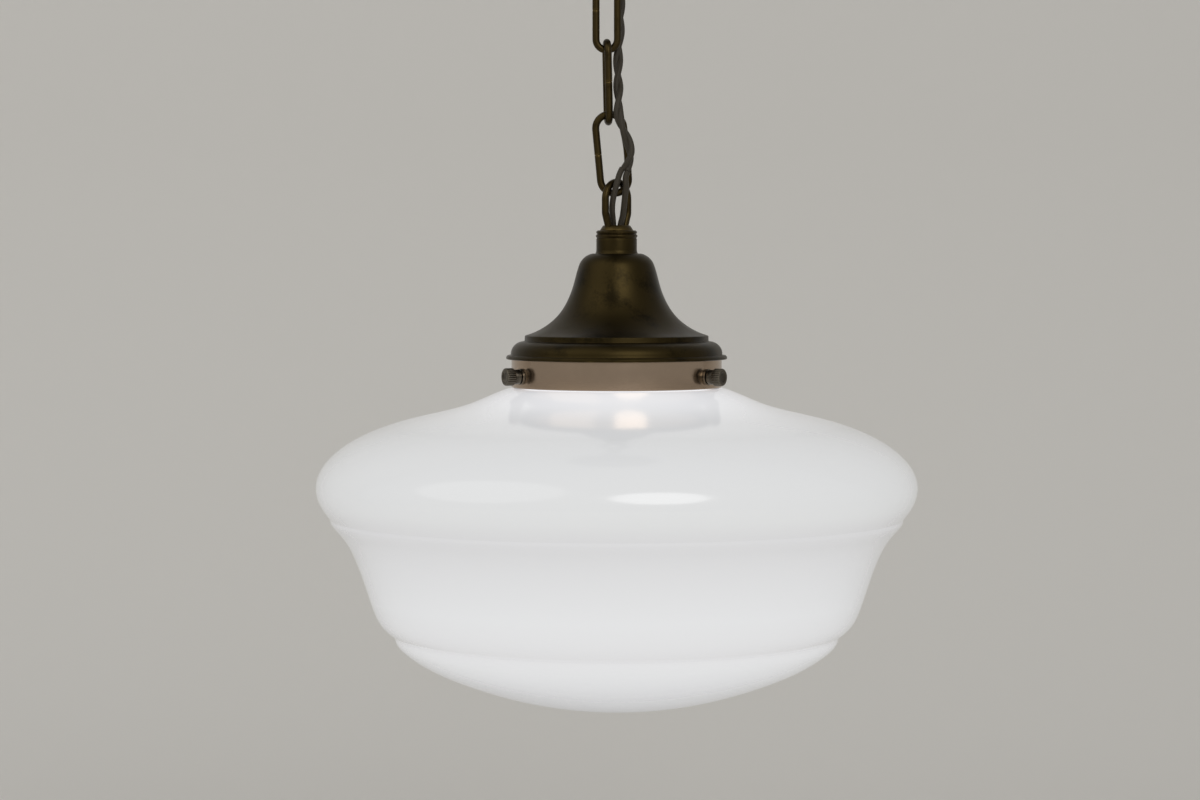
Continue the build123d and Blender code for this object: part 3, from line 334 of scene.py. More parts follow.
def bell_outline():
    top, foot = bell_top, bell_foot
    shoulder = arc((12.0, top), (16.3, top - 2.1), (18.9, top - 6.2))
    heading = shoulder[-1] - shoulder[-2]
    flare = smooth_line(
        [(18.9, top - 6.2), (22.0, top - 17.0), (24.7, top - 23.8), (28.4, top - 29.8), (34.7, top - 35.7),
         (45.3, top - 40.8)],
        heading, (1, -0.28),
    )
    brow = arc((47.3, foot + 8.8), (51.4, foot + 6.6), (52.9, foot + 2.4))
    step = eased([flare[-1], (45.9, top - 41.1), (46.0, foot + 9.2), (46.4, foot + 9.0), brow[0]], 0.35)
    lip = eased([brow[-1], (53.1, foot + 1.9), (54.6, foot + 1.9), (55.2, foot + 1.1), (55.2, foot + 0.3),
                 (54.9, foot), (53.0, foot)], 0.3)
    outer = joined(shoulder, flare, step, brow, lip)
    under_steps = [(53.0, foot + 1.6), (51.6, foot + 1.9), (50.5, foot + 6.0), (47.2, foot + 7.9),
                   (45.0, foot + 8.3), (44.6, top - 41.9)]
    under_flare = beside(flare, -SHEET)[::-1]
    under_top = [(17.9, top - 6.2), (15.7, top - 2.8), (12.0, top - SHEET), (TUBE_HOLE, top - SHEET)]
    return joined([(TUBE_HOLE, top)], outer, under_steps, under_flare, under_top)


set_in_frame(turned("bell", bell_outline(), 240), "lamp", "aged_brass", "bell_cover")

# %% [markdown]
# ## The neck
#
# Between the loop and the bell sit two turned pieces: a beaded cap, which is a decorative nut, and a short
# collar that flares a little where it meets the bell. They are cut on a lathe, so their edges are crisp,
# with just a trace of easing that catches the light as a fine line.

# %% Neck cap and collar
cap_foot = collar_top
cap = eased([
    (COLLAR_HOLE, cap_top), (9.5, cap_top), (10.2, cap_top - 0.6), (10.2, cap_top - 1.35),
    (9.65, cap_top - 1.75), (10.25, cap_top - 2.25), (10.5, cap_top - 2.75), (10.25, cap_top - 3.25),
    (9.9, cap_foot + 0.2), (9.9, cap_foot), (COLLAR_HOLE, cap_foot),
], 0.25)
set_in_frame(turned("neck_bead", joined(cap, [cap[0]]), 128), "lamp", "cast_brass", "neck_cap")
collar = joined(
    [(COLLAR_HOLE, collar_top), (COLLAR_RADIUS - 0.35, collar_top), (COLLAR_RADIUS - 0.05, collar_top - 0.15),
     (COLLAR_RADIUS, collar_top - 0.5), (COLLAR_RADIUS, bell_top + 1.8)],
    arc((COLLAR_RADIUS, bell_top + 1.8), (COLLAR_RADIUS + 0.15, bell_top + 0.8),
        (COLLAR_RADIUS + 0.5, bell_top)),
    [(COLLAR_HOLE, bell_top), (COLLAR_HOLE, collar_top)],
)
set_in_frame(turned("neck_sleeve", collar, 128), "lamp", "aged_brass", "neck_collar")

# %% [markdown]
# ## The canopy
#
# The canopy closes the ceiling box. It is above the picture, so its profile is the plain stepped one that
# goes with such a bell: an upright rim, a brow, a step and a flare down to the loop.

# %% Canopy
brow = arc((57.5, -4.0), (52.6, -12.2), (43.0, -16.0))
flare = smooth_line(
    [(42.6, -18.6), (27.0, -22.6), (17.0, -28.5), (13.0, canopy_foot + 0.6)], (-1, -0.1), (-0.6, -0.8)
)
canopy_outer = joined(
    [(60.0, 0)], eased([(60.0, -0.2), (60.0, -3.4), (58.6, -4.0), (57.5, -4.0)], 0.8), brow,
    eased([(43.0, -16.0), (42.75, -17.0), (42.6, -18.3), (42.2, -18.62)], 0.3), flare,
    [(12.0, canopy_foot), (TUBE_HOLE, canopy_foot)],
)
canopy_inner = joined(
    [(TUBE_HOLE, canopy_foot + SHEET), (11.6, canopy_foot + SHEET)], beside(flare[6:-4], -SHEET)[::-1],
    beside(brow, -SHEET)[::-1], [(58.0, -2.9), (59.0, -2.0), (59.0, 0)],
)
shell = turned("canopy_shell", joined(canopy_outer, canopy_inner), 240, centre=(0, 0))
set_in_frame(shell, "canopy", "aged_brass", "canopy")

# %% [markdown]
# ## The shade
#
# The glass was blown into an iron mould, which is where its steps come from: a lip that the screws hold, a
# short neck, a broad domed shoulder, a skirt that curves in, and a shallow bowl. The walls are three
# millimetres thick, and the mould leaves soft corners, so the small steps are eased by half a millimetre or
# more.

# %% Glass shade
GLASS_WALL = 3.0
GLASS_NECK = 46.6
GLASS_LIP = 49.4
NECK_BEND = 4.0
under_lip = glass_top - 4.0
neck_foot = under_lip - 4.5
base = neck_foot - NECK_BEND
halfway = NECK_BEND * 0.5**0.5
neck_curve = arc(
    (GLASS_NECK, neck_foot), (GLASS_NECK + NECK_BEND - halfway, neck_foot - halfway),
    (GLASS_NECK + NECK_BEND, base),
)
shoulder = smooth_line(
    [neck_curve[-1]] + [(r, base - d) for r, d in (
        (57.9, 1.7), (72.5, 7.8), (96.9, 14.3), (117.2, 20.0), (131.8, 26.6), (143.3, 35.2), (149.0, 43.7),
        (150.1, 49.7), (148.0, 57.8), (143.6, 64.2))],
    (1, 0), (-0.62, -0.78),
)
skirt = smooth_line(
    [(r, base - d) for r, d in (
        (142.9, 66.7), (138.2, 72.4), (133.8, 78.7), (129.6, 87.8), (124.4, 102.8), (121.3, 111.7),
        (118.6, 117.0), (111.6, 123.4))],
    (-0.5, -0.86), (-0.85, -0.5),
)
bowl = smooth_line(
    [(r, base - d) for r, d in (
        (110.9, 125.7), (106.6, 131.4), (94.4, 139.4), (75.0, 147.7), (50.0, 155.3), (0, 161.1))],
    (-0.2, -1), (-1, 0),
)
upper_step = eased([shoulder[-1], (143.05, base - 64.9), (143.0, base - 66.2), skirt[0]], 0.5)
lower_step = eased([skirt[-1], (111.1, base - 123.8), (110.95, base - 124.9), bowl[0]], 0.5)
lip = joined(
    [(GLASS_NECK - GLASS_WALL, glass_top), (48.5, glass_top)],
    arc((48.5, glass_top), (49.14, glass_top - 0.26), (GLASS_LIP, glass_top - 0.9)),
    eased([(GLASS_LIP, glass_top - 0.9), (GLASS_LIP, under_lip), (GLASS_NECK, under_lip),
           (GLASS_NECK, neck_foot)], 0.7),
)
glass_outer = joined(lip, neck_curve, shoulder, upper_step, skirt, lower_step, bowl)
inner_points = np.vstack([
    beside(bowl, -GLASS_WALL)[[-1, -18, -30, -42, -54]], beside(skirt, -GLASS_WALL)[[-10, -30, -50, -70]],
    beside(shoulder, -GLASS_WALL)[[-8, -20, -32, -45, -60, -75, -90]],
])
inner_points[0] = (0, bowl[-1][1] + GLASS_WALL)
inner_points = np.vstack([inner_points, [(GLASS_NECK - GLASS_WALL, neck_foot - 1)]])
glass_inner = joined(smooth_line(inner_points, (1, 0), (0, 1), 8), [(GLASS_NECK - GLASS_WALL, glass_top)])
set_in_frame(turned("shade", joined(glass_outer, glass_inner), 256), "lamp", "opal_glass", "glass_shade")
across, high = 2 * glass_outer[:, 0].max(), np.ptp(glass_outer[:, 1])
print("shade is", round(across, 1), "mm across and", round(high, 1), "mm high")

# %% [markdown]
# ## The bright band
#
# The cup that holds the shade keeps its engineering shape, because its vents and screw holes are right.
# What shows is its band, polished like a mirror, and a mirror shows every flat of a coarse mesh. So a skin
# a few hundredths of a millimetre thick, with far more faces, lies over the band.

# %% Band skin
BAND_RADIUS = 52.5
over = eased([
    (50.6, fitter_top + 0.03), (BAND_RADIUS + 0.03, fitter_top + 0.03),
    (BAND_RADIUS + 0.03, fitter_foot - 0.03), (51.45, fitter_foot - 0.03),
], 0.8)
band = joined(over, [
    (51.45, fitter_foot + 0.02), (BAND_RADIUS - 0.01, fitter_foot + 0.02),
    (BAND_RADIUS - 0.01, fitter_top - 0.6), (51.9, fitter_top), (50.6, fitter_top), over[0],
])
set_in_frame(turned("band_skin", band, 320), "lamp", "band_metal")

# %% [markdown]
# ## Chain and loops
#
# A link is wire bent to a long oval, with its two ends brought together and not welded, so one side shows a
# fine seam. The lowest link was opened once to hang the lamp and closed again by hand: one side bows out,
# and it leans. The two loops are castings on small cone-topped bosses.

# %% Chain links
WIRE = 3.6
PLAY = 0.15
LINK_REACH = 39.4
LOOP_RISE = 21.5
link_half_widths = (5.35, 5.35, 5.35, 7.0)
link_turns = (90.0, 0.0, 96.0, 0.0)
link_leans = (0.0, 0.0, 1.2, 5.4)
link_bows = (0.0, 0.0, 0.0, 0.6)


def link_line(half, bow):
    """A link's middle line from one side of its seam round to the other, in its own plane: x across, z down
    from its upper pivot. The bowed side is shifted outwards by a raised cosine along its straight."""
    crown = LINK_REACH / 2
    straight = crown - half
    z = np.linspace(straight, -straight, 25)
    across = half + bow * 0.5 * (1 + np.cos(np.pi * z / straight))
    turn = np.linspace(np.pi, 0, 25)
    over = np.column_stack([half * np.cos(turn), straight + half * np.sin(turn)])
    under = np.column_stack([-half * np.cos(turn), -straight - half * np.sin(turn)])
    up = np.column_stack([np.full(14, -half), np.concatenate([[0.05, 0.2], np.linspace(1.0, straight, 12)])])
    line = joined(up, over, np.column_stack([across, z]), under, up[::-1] * (1, -1))
    return np.column_stack([line[:, 0], np.zeros(len(line)), line[:, 1] - crown])


def placed(points, turn, lean, top):
    """Points turned about the vertical, leaned in the picture's plane and moved to their pivot."""
    turned_by = Matrix.Rotation(np.radians(turn), 3, "Z")
    leaned_by = Matrix.Rotation(np.radians(-lean), 3, "Y")
    return points @ np.array(leaned_by @ turned_by).T + np.array(top)


canopy_loop_top = canopy_foot - 5.5
hook = np.array([0, 0, canopy_loop_top - LOOP_RISE])
for i, (half, turn, lean, bow) in enumerate(zip(link_half_widths, link_turns, link_leans, link_bows)):
    top = hook + (0, 0, WIRE + PLAY)
    hook = placed(np.array([[0, 0, -LINK_REACH]]), turn, lean, top)[0]
    middle = link_line(half, bow)
    wire = np.full(len(middle), WIRE / 2)
    wire[[0, -1]] = WIRE / 2 - 0.12
    face = placed(np.array([[0.0, 1.0, 0.0]]), turn, lean, (0, 0, 0))[0]
    link = tube_along(f"link_{i + 1}", placed(middle, turn, lean, top), wire, face, 32)
    set_in_frame(link, f"link_{i + 1}", "chain_metal", f"chain_link_{i + 1}")

# %% Loops on their bosses
LOOP_WIRE = 3.6


def loop_line():
    """The loop's middle line, feet at z = 0: each leg leans outwards to its knee, rises straight and meets
    the other in a half circle."""
    half, foot, knee = 8.4, 6.3, 6.0
    spring = LOOP_RISE - half
    leg = eased([(-foot, -2.0), (-foot, 0), (-half, knee), (-half, spring)], 6.0, 8)
    turn = np.linspace(np.pi, 0, 33)
    crown = np.column_stack([half * np.cos(turn), spring + half * np.sin(turn)])
    line = joined(leg, crown, leg[::-1] * (-1, 1))
    return np.column_stack([line[:, 0], np.zeros(len(line)), line[:, 1]])


def boss_outline(stem_radius, stem_length, top, up):
    """A cone on a stem, with the cord's mouth in its top and a threaded hole from below. up is 1, or -1 for a
    boss that points down."""
    stem_foot = -2.5 - stem_length
    steps = [(3.5, 0), (3.8, 0), (6.6, 0), (6.95, -0.3), (8.25, -2.3), (8.3, -2.5), (stem_radius, -2.5),
             (stem_radius, stem_foot), (5.05, stem_foot), (5.05, -3.6), (3.5, -3.6), (3.5, 0)]
    return [(r, top + up * z) for r, z in steps]


def cast_loop(name, turn, top, centre, up, stem_radius, stem_length):
    """The ring and its boss as one casting."""
    line = loop_line() * (1, 1, up)
    face = placed(np.array([[0.0, 1.0, 0.0]]), turn, 0, (0, 0, 0))[0]
    ring = tube_along(name + "_ring", placed(line, turn, 0, (centre, 0, top)), LOOP_WIRE / 2, face, 28)
    boss = turned(name + "_boss", boss_outline(stem_radius, stem_length, top, up), 96, (centre, 0))
    return merged(name, ring, boss)


lamp_loop_top = cap_top + 2.5
loop = cast_loop("loop_of_lamp", 48, lamp_loop_top, LAMP_X, 1, 7.0, 10.0)
set_in_frame(loop, "lamp", "cast_brass", "lamp_loop")
loop = cast_loop("loop_of_canopy", 0, canopy_loop_top, 0, -1, 9.5, 3.0)
set_in_frame(loop, "canopy", "cast_brass", "canopy_loop")

# %% [markdown]
# ## Thumb screws
#
# Three screws with knurled heads reach through the band under the glass's lip. A straight knurl is rolled
# into the head by a toothed wheel, so the head's radius goes in and out evenly round the screw, and fades
# where its ends are chamfered.

# %% Thumb screws
KNURLS = 24
COLUMNS = KNURLS * 8


def screw_grid(outline, depth):
    """A turned piece about its own axis whose radius is lowered by a rounded wave, as deep as depth says at
    each point of the outline: r(a) = r - depth * (1 - |sin(a * teeth / 2)|)."""
    angle = np.linspace(0, 2 * np.pi, COLUMNS, endpoint=False)
    radius = outline[:, :1] - depth[:, None] * (1 - np.abs(np.sin(angle * KNURLS / 2)))
    return np.stack([radius * np.cos(angle), radius * np.sin(angle), outline[:, 1:] + 0 * angle], axis=-1)


screw_steps = np.array([
    (0.001, 46.9, 0), (1.5, 46.9, 0), (2.0, 47.4, 0), (2.0, 54.0, 0), (3.3, 54.0, 0), (3.6, 54.3, 0),
    (3.6, 56.9, 0), (3.45, 57.2, 0), (3.9, 57.2, 0.1), (4.3, 57.6, 0.25), (4.35, 57.8, 0.32),
    (4.35, 61.2, 0.32), (4.25, 61.55, 0.25), (3.9, 61.8, 0), (2.6, 61.8, 0), (2.3, 61.6, 0),
    (0.001, 61.55, 0),
])
for i, angle in enumerate((207.0, 327.0, 87.0)):
    grid = screw_grid(screw_steps[:, :2], screw_steps[:, 2])
    outwards = Matrix.Rotation(np.radians(angle), 3, "Z") @ Matrix.Rotation(np.radians(90), 3, "Y")
    grid = grid @ np.array(outwards).T + (LAMP_X, 0, screw_height)
    u, v = np.meshgrid(screw_steps[:, 1], np.arange(COLUMNS + 1) / COLUMNS, indexing="ij")
    screw = closed_up(mesh_of(f"screw_{i + 1}", grid, np.stack([u, v], axis=-1), False, True, 30))
    set_in_frame(screw, f"thumb_screw_{i + 1}", "screw_brass", f"thumb_screw_{i + 1}")

# %% [markdown]
# ## The cord
#
# Two insulated cores, each under a woven cover, are twisted round each other with a turn every 29 mm. The
# cord comes out of the canopy's boss, passes behind the second link, crosses to the front beside the third,
# bows out over the lowest link and splits above the lamp's loop, where each core goes its own way into the
# boss. The route is a handful of points that a smooth NURBS line follows. Each strand winds round that
# line, and the phase runs on from one stretch to the next, so the joints between stretches don't show. Each
# stretch bends between two links.

# %% Cord
CORD = 5.08
CORE = 3.0
TWIST = 29.0
route = np.array([
    (0.0, 0.0, 3.3), (0.0, 0.0, -3.5), (1.9, 3.1, -11.1), (5.2, 6.2, -20.5), (5.8, 5.9, -34.5),
    (5.7, 5.0, -49.5), (6.8, 5.3, -65.0), (6.8, 5.4, -80.0), (5.7, 5.0, -93.5), (5.6, 0.4, -107.5),
    (6.0, -5.0, -117.5), (5.6, -7.0, -127.0), (11.4, -5.6, -140.0), (12.4, -5.4, -146.8), (9.2, -5.2, -152.3),
]) + (0, 0, canopy_loop_top)
cuts = [0, 4, 6, 9, len(route) - 1]
core_routes = {
    "left": [(0.1, -5.6, 20.7), (-1.6, -5.0, 14.7), (-2.4, -3.6, 8.9), (-2.0, -1.5, 3.9)],
    "right": [(4.8, -4.6, 19.7), (4.1, -3.3, 14.5), (3.6, -1.8, 9.1), (3.0, -0.4, 4.1)],
}


def drawn_line(points):
    """The points of a smooth NURBS line through a route's control points, in millimetres."""
    data = bpy.data.curves.new("route", "CURVE")
    data.dimensions = "3D"
    data.resolution_u = 14
    spline = data.splines.new("NURBS")
    spline.points.add(len(points) - 1)
    spline.points.foreach_set("co", np.column_stack([np.array(points) * MM, np.ones(len(points))]).ravel())
    spline.order_u = 3
    spline.use_endpoint_u = True
    carrier = bpy.data.objects.new("route", data)
    bpy.context.collection.objects.link(carrier)
    bpy.context.view_layer.update()
    mesh = bpy.data.meshes.new_from_object(carrier)
    co = np.empty(len(mesh.vertices) * 3)
    mesh.vertices.foreach_get("co", co)
    bpy.data.meshes.remove(mesh)
    bpy.data.objects.remove(carrier)
    return joined(co.reshape(-1, 3) / MM)


def strand(line, phase, spread):
    """The middle line of a strand that winds round a line: L + spread * (cos(phase) n + sin(phase) t x n)."""
    along = np.gradient(line, axis=0)
    along /= np.linalg.norm(along, axis=1)[:, None]
    n = np.array([0.0, 1.0, 0.0]) - along[:, 1:2] * along
    n /= np.linalg.norm(n, axis=1)[:, None]
    return line + spread * (np.cos(phase)[:, None] * n + np.sin(phase)[:, None] * np.cross(along, n))


stretches = []
for first, last in zip(cuts, cuts[1:]):
    start = [route[0]] if first == 0 else [(route[first] + route[first + 1]) / 2]
    end = [route[-1]] if last == len(route) - 1 else [(route[last] + route[last + 1]) / 2]
    inner = route[first + 1 : last] if last == len(route) - 1 else route[first + 1 : last + 1]
    stretches.append(drawn_line(np.vstack([start, inner, end])))
lengths = [run_along(line)[-1] for line in stretches]
print("cord stretches", [round(float(x), 1) for x in lengths], "mm")

passed = 0.0
for i, line in enumerate(stretches):
    turn = np.pi / 2 + 2 * np.pi * (passed + run_along(line) - sum(lengths)) / TWIST
    passed += lengths[i]
    pair = []
    for k in (0, 1):
        winding = strand(line, turn + np.pi * k, (CORD - CORE) / 2)
        pair.append(tube_along(f"strand_{k}", winding, CORE / 2, (0, 1, 0), 24))
    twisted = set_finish(merged(f"cord_{i + 1}", *pair), "cord_cover")
    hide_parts(f"cord_stretch_{i + 1}")
    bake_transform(twisted)

end, before = route[-1], route[-2]
along = (end - before) / np.linalg.norm(end - before)
across = np.cross(along, (0, 1, 0))
across *= (CORE / 2 + 0.05) / np.linalg.norm(across)
for side, sign in (("left", -1), ("right", 1)):
    first = end + sign * across
    boss = np.array([LAMP_X, 0, lamp_loop_top])
    foot = boss + (sign * (CORE / 2 + 0.05), 0, 0)
    way = [boss + point for point in core_routes[side]]
    line = drawn_line([first, first + along * 3.0, *way, foot - (0, 0, 0.5), foot - (0, 0, 5.0)])
    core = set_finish(tube_along(f"core_{side}", line, CORE / 2, (0, 1, 0), 24), "cord_cover")
    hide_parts(f"cord_core_{side}")
    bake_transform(core)
    print("core", side, round(run_along(line)[-1], 1), "mm")

# %% [markdown]
# ## Finishes
#
# Each finish starts from what the real thing is made of. Colours are written as a painter would, in sRGB
# hex, and one function turns them into the linear values that light adds up in.

# %% Colours and nodes


def linear(code):
    """An sRGB hex colour as linear red, green, blue and alpha."""
    value = np.array([int(code[i : i + 2], 16) for i in (0, 2, 4)]) / 255
    value = np.where(value <= 0.04045, value / 12.92, ((value + 0.055) / 1.055) ** 2.4)
    return (*value.tolist(), 1.0)


def add(tree, kind, settings=None, **inputs):
    """Adds a node, sets its properties, and gives each named input a value or a link from another node's
    output. A name such as i2 is an input's number."""
    node = tree.nodes.new("ShaderNode" + kind)
    for key, value in (settings or {}).items():
        setattr(node, key, value)
    for key, value in inputs.items():
        numbered = key[0] == "i" and key[1:].isdigit()
        socket = node.inputs[int(key[1:]) if numbered else key.replace("_", " ")]
        if isinstance(value, bpy.types.NodeSocket):
            tree.links.new(value, socket)
        else:
            socket.default_value = value
    return node


def ramp(tree, factor, stops):
    """A colour ramp from (place, hex colour) stops."""
    node = add(tree, "ValToRGB", Fac=factor)
    marks = node.color_ramp.elements
    while len(marks) < len(stops):
        marks.new(0.5)
    for mark, (place, colour) in zip(marks, stops):
        mark.position = place
        mark.color = linear(colour)
    return node.outputs["Color"]


def finish_named(name, **sockets):
    """A new material with its Principled shader's plain values set, and its tree."""
    material = bpy.data.materials.new(name)
    material.use_nodes = True
    shader = material.node_tree.nodes["Principled BSDF"]
    for key, value in sockets.items():
        shader.inputs[key.replace("_", " ")].default_value = value
    return material, material.node_tree, shader


# %% [markdown]
# ### Antique brass, spun
#
# The bell, the canopy and the collar are brass that was darkened in a bath. The bath leaves an olive-brown
# skin with faint clouds, the spinning leaves fine rings about half a millimetre apart, and handling rubs
# the skin thin on the edges. The skin is satin, so a soft light shows in it as a blurred patch. Brass keeps
# metallic at 1; the darkness is in its colour.


# %% Antique brass
def patina(name, dark, mid, rubbed, roughness, ring_spacing=None, cloud=18.0):
    material, tree, shader = finish_named(name, Metallic=1.0)
    place = add(tree, "TexCoord").outputs["Object"]
    clouds = add(tree, "TexNoise", Vector=place, Scale=1000 / cloud, Detail=5.0, Roughness=0.6).outputs["Fac"]
    specks = add(tree, "TexNoise", Vector=place, Scale=1000 / 1.2, Detail=2.0, Roughness=0.5).outputs["Fac"]
    both = add(tree, "Math", {"operation": "MULTIPLY_ADD"}, i0=specks, i1=0.25, i2=clouds).outputs[0]
    colour = ramp(tree, both, [(0.45, dark), (0.62, mid), (0.80, mid)])
    edge = add(tree, "NewGeometry").outputs["Pointiness"]
    worn = add(tree, "MapRange", Value=edge, From_Min=0.52, From_Max=0.60).outputs["Result"]
    mixed = add(tree, "Mix", {"data_type": "RGBA"}, Factor=worn)
    tree.links.new(colour, mixed.inputs[6])
    mixed.inputs[7].default_value = linear(rubbed)
    tree.links.new(mixed.outputs[2], shader.inputs["Base Color"])
    gloss = add(tree, "MapRange", Value=clouds, From_Min=0.3, From_Max=0.7, To_Min=roughness - 0.05,
                To_Max=roughness + 0.07)
    tree.links.new(gloss.outputs["Result"], shader.inputs["Roughness"])
    height = specks
    if ring_spacing:
        turns = add(tree, "TexWave", {"wave_type": "BANDS", "bands_direction": "Z"}, Vector=place,
                    Scale=1000 / ring_spacing / 20, Distortion=0.6, Detail=2.0).outputs["Fac"]
        height = add(tree, "Math", {"operation": "MULTIPLY_ADD"}, i0=specks, i1=0.5, i2=turns).outputs[0]
    bump = add(tree, "Bump", Height=height, Strength=0.12, Distance=0.00002)
    tree.links.new(bump.outputs["Normal"], shader.inputs["Normal"])
    return material


spun_brass = patina("antique_brass_spun", "231D10", "352C18", "5C4E2C", 0.40, 0.5)
cast_brass = patina("antique_brass_cast", "261E11", "3A301B", "66552F", 0.38, None, 7.0)
wire_brass = patina("antique_brass_wire", "282012", "3C321D", "6A5832", 0.42, None, 6.0)
knurl_brass = patina("tarnished_plate", "312D27", "4A443B", "7E776A", 0.34, None, 5.0)

# %% [markdown]
# ### Polished band
#
# The band is plated and polished, so it is a mirror with a warm tint. What keeps a real mirror band from
# looking like a drawing is that it is never quite clean or quite round: faint smears change its gloss, and
# fine lines run round it from the buffing wheel.

# %% Polished band
band_metal, tree, shader = finish_named("polished_plate", Metallic=1.0)
shader.inputs["Base Color"].default_value = linear("AE9984")
place = add(tree, "TexCoord").outputs["Object"]
smears = add(tree, "TexNoise", Vector=place, Scale=1000 / 14.0, Detail=4.0, Roughness=0.6).outputs["Fac"]
gloss = add(tree, "MapRange", Value=smears, From_Min=0.35, From_Max=0.7, To_Min=0.14, To_Max=0.24)
tree.links.new(gloss.outputs["Result"], shader.inputs["Roughness"])
stretched = add(tree, "Mapping", Vector=place, Scale=(20, 20, 1400)).outputs["Vector"]
buffing = add(tree, "TexNoise", Vector=stretched, Scale=1.0, Detail=3.0).outputs["Fac"]
bump = add(tree, "Bump", Height=buffing, Strength=0.05, Distance=0.00002)
tree.links.new(bump.outputs["Normal"], shader.inputs["Normal"])

# %% [markdown]
# ### Opal glass, lit from inside
#
# Opal glass scatters light inside its wall, so a lit shade glows almost evenly. It is a little brighter and
# cooler near the neck, where the bulb is closest, and a little darker where the wall turns away from the
# bulb, under the shoulder and at the foot of the bowl. The glow is a ramp over the shade's height. The
# clear coat over it is the smooth skin of the glass, with the faintest waviness from the mould. It mirrors
# the lights a little, and it dims the glow where the glass is seen at a slant, which is why the rim of the
# shade looks darker than its middle.

# %% Opal glass
opal, tree, shader = finish_named(
    "opal_glass", Roughness=0.5, Specular_IOR_Level=0.0, Coat_Weight=1.0, Coat_Roughness=0.14
)
shader.inputs["Base Color"].default_value = linear("6E6E6C")
place = add(tree, "TexCoord").outputs["Object"]
height = add(tree, "SeparateXYZ", Vector=place).outputs["Z"]
GLOW_LOW, GLOW_HIGH = -462.0, -286.0
share = add(tree, "MapRange", Value=height, From_Min=GLOW_LOW * MM, From_Max=GLOW_HIGH * MM).outputs["Result"]
glow_heights = [
    (-460, "C0C3C9"), (-450, "D0D1D5"), (-431, "D8D9DB"), (-424, "D4D4D6"), (-405, "D6D7D9"),
    (-366, "CBCBCD"), (-357, "CFD0D1"), (-320, "CDCED0"), (-312, "E0E1E4"), (-300, "E8E8EC"),
]
glow = ramp(tree, share, [((z - GLOW_LOW) / (GLOW_HIGH - GLOW_LOW), c) for z, c in glow_heights])
tree.links.new(glow, shader.inputs["Emission Color"])
shader.inputs["Emission Strength"].default_value = 1.0
waves = add(tree, "TexNoise", Vector=place, Scale=1000 / 45.0, Detail=1.0).outputs["Fac"]
bump = add(tree, "Bump", Height=waves, Strength=0.08, Distance=0.0006)
tree.links.new(bump.outputs["Normal"], shader.inputs["Normal"])

# %% [markdown]
# ### Woven cord cover
#
# Each core is plaited over with rayon yarn. The yarns run round it both ways and cross in small diamonds. A
# real yarn is about 0.4 mm wide, finer than the picture can show, so the diamonds are drawn about 0.9 mm
# long. The pattern is on the piece's own UV map, whose first value is millimetres along the strand, so it
# follows every bend. The yarn's own dark olive is painted darker where the weave dips, as painted shade
# between the yarns.

# %% Woven cover
woven, tree, shader = finish_named("woven_rayon", Roughness=0.62, Sheen_Weight=0.08, Sheen_Roughness=0.4)
uv = add(tree, "UVMap", {"uv_map": "along_and_round"}).outputs["UV"]
parts = add(tree, "SeparateXYZ", Vector=uv)
YARN = 0.9
lines = []
for way in (1, -1):
    around = add(tree, "Math", {"operation": "MULTIPLY"}, i0=parts.outputs["Y"], i1=way * 6.0).outputs[0]
    phase = add(tree, "Math", {"operation": "MULTIPLY_ADD"}, i0=parts.outputs["X"], i1=1 / YARN, i2=around)
    angle = add(tree, "Math", {"operation": "MULTIPLY"}, i0=phase.outputs[0], i1=2 * np.pi).outputs[0]
    lines.append(add(tree, "Math", {"operation": "SINE"}, i0=angle).outputs[0])
diamonds = add(tree, "Math", {"operation": "MULTIPLY"}, i0=lines[0], i1=lines[1]).outputs[0]
weave_height_and_shade = add(tree, "MapRange", Value=diamonds, From_Min=-1.0, From_Max=1.0).outputs["Result"]
# The yarn's own dark olive, painted darker where the weave dips: painted shade between the yarns.
colour = ramp(tree, weave_height_and_shade, [(0.15, "171207"), (0.55, "2B2313"), (0.9, "3E3420")])
tree.links.new(colour, shader.inputs["Base Color"])
bump = add(tree, "Bump", Height=weave_height_and_shade, Strength=0.5, Distance=0.00012)
tree.links.new(bump.outputs["Normal"], shader.inputs["Normal"])

# %% [markdown]
# ### Hidden pieces
#
# What the shade, the bell and the canopy hide is ordinary hardware: zinc-plated steel, white glazed
# porcelain, plain brass, moulded plastic and the bulb's own glass. They show when the lamp is looked at
# from above or taken apart.


# %% Hardware finishes
def plain_metal(name, colour, roughness, grain):
    """Metal as it leaves the press or the plating tank: an even colour, with fine grain in its gloss and
    height."""
    material, tree, shader = finish_named(name, Metallic=1.0)
    place = add(tree, "TexCoord").outputs["Object"]
    fine = add(tree, "TexNoise", Vector=place, Scale=1000 / grain, Detail=4.0, Roughness=0.6).outputs["Fac"]
    lighter = "".join(f"{min(255, int(int(colour[i : i + 2], 16) * 1.1)):02X}" for i in (0, 2, 4))
    tree.links.new(ramp(tree, fine, [(0.3, colour), (0.7, lighter)]), shader.inputs["Base Color"])
    gloss = add(tree, "MapRange", Value=fine, To_Min=roughness - 0.08, To_Max=roughness + 0.1)
    tree.links.new(gloss.outputs["Result"], shader.inputs["Roughness"])
    bump = add(tree, "Bump", Height=fine, Strength=0.1, Distance=0.00003)
    tree.links.new(bump.outputs["Normal"], shader.inputs["Normal"])
    return material


def moulded(name, colour, other, roughness, grain, coat=0.0, ior=1.5):
    """Glaze, plastic or glass with a faint change of tone and an uneven surface."""
    material, tree, shader = finish_named(name, Coat_Weight=coat, IOR=ior, Roughness=roughness)
    place = add(tree, "TexCoord").outputs["Object"]
    fine = add(tree, "TexNoise", Vector=place, Scale=1000 / grain, Detail=3.0).outputs["Fac"]
    tree.links.new(ramp(tree, fine, [(0.35, colour), (0.7, other)]), shader.inputs["Base Color"])
    bump = add(tree, "Bump", Height=fine, Strength=0.08, Distance=0.00005)
    tree.links.new(bump.outputs["Normal"], shader.inputs["Normal"])
    return material


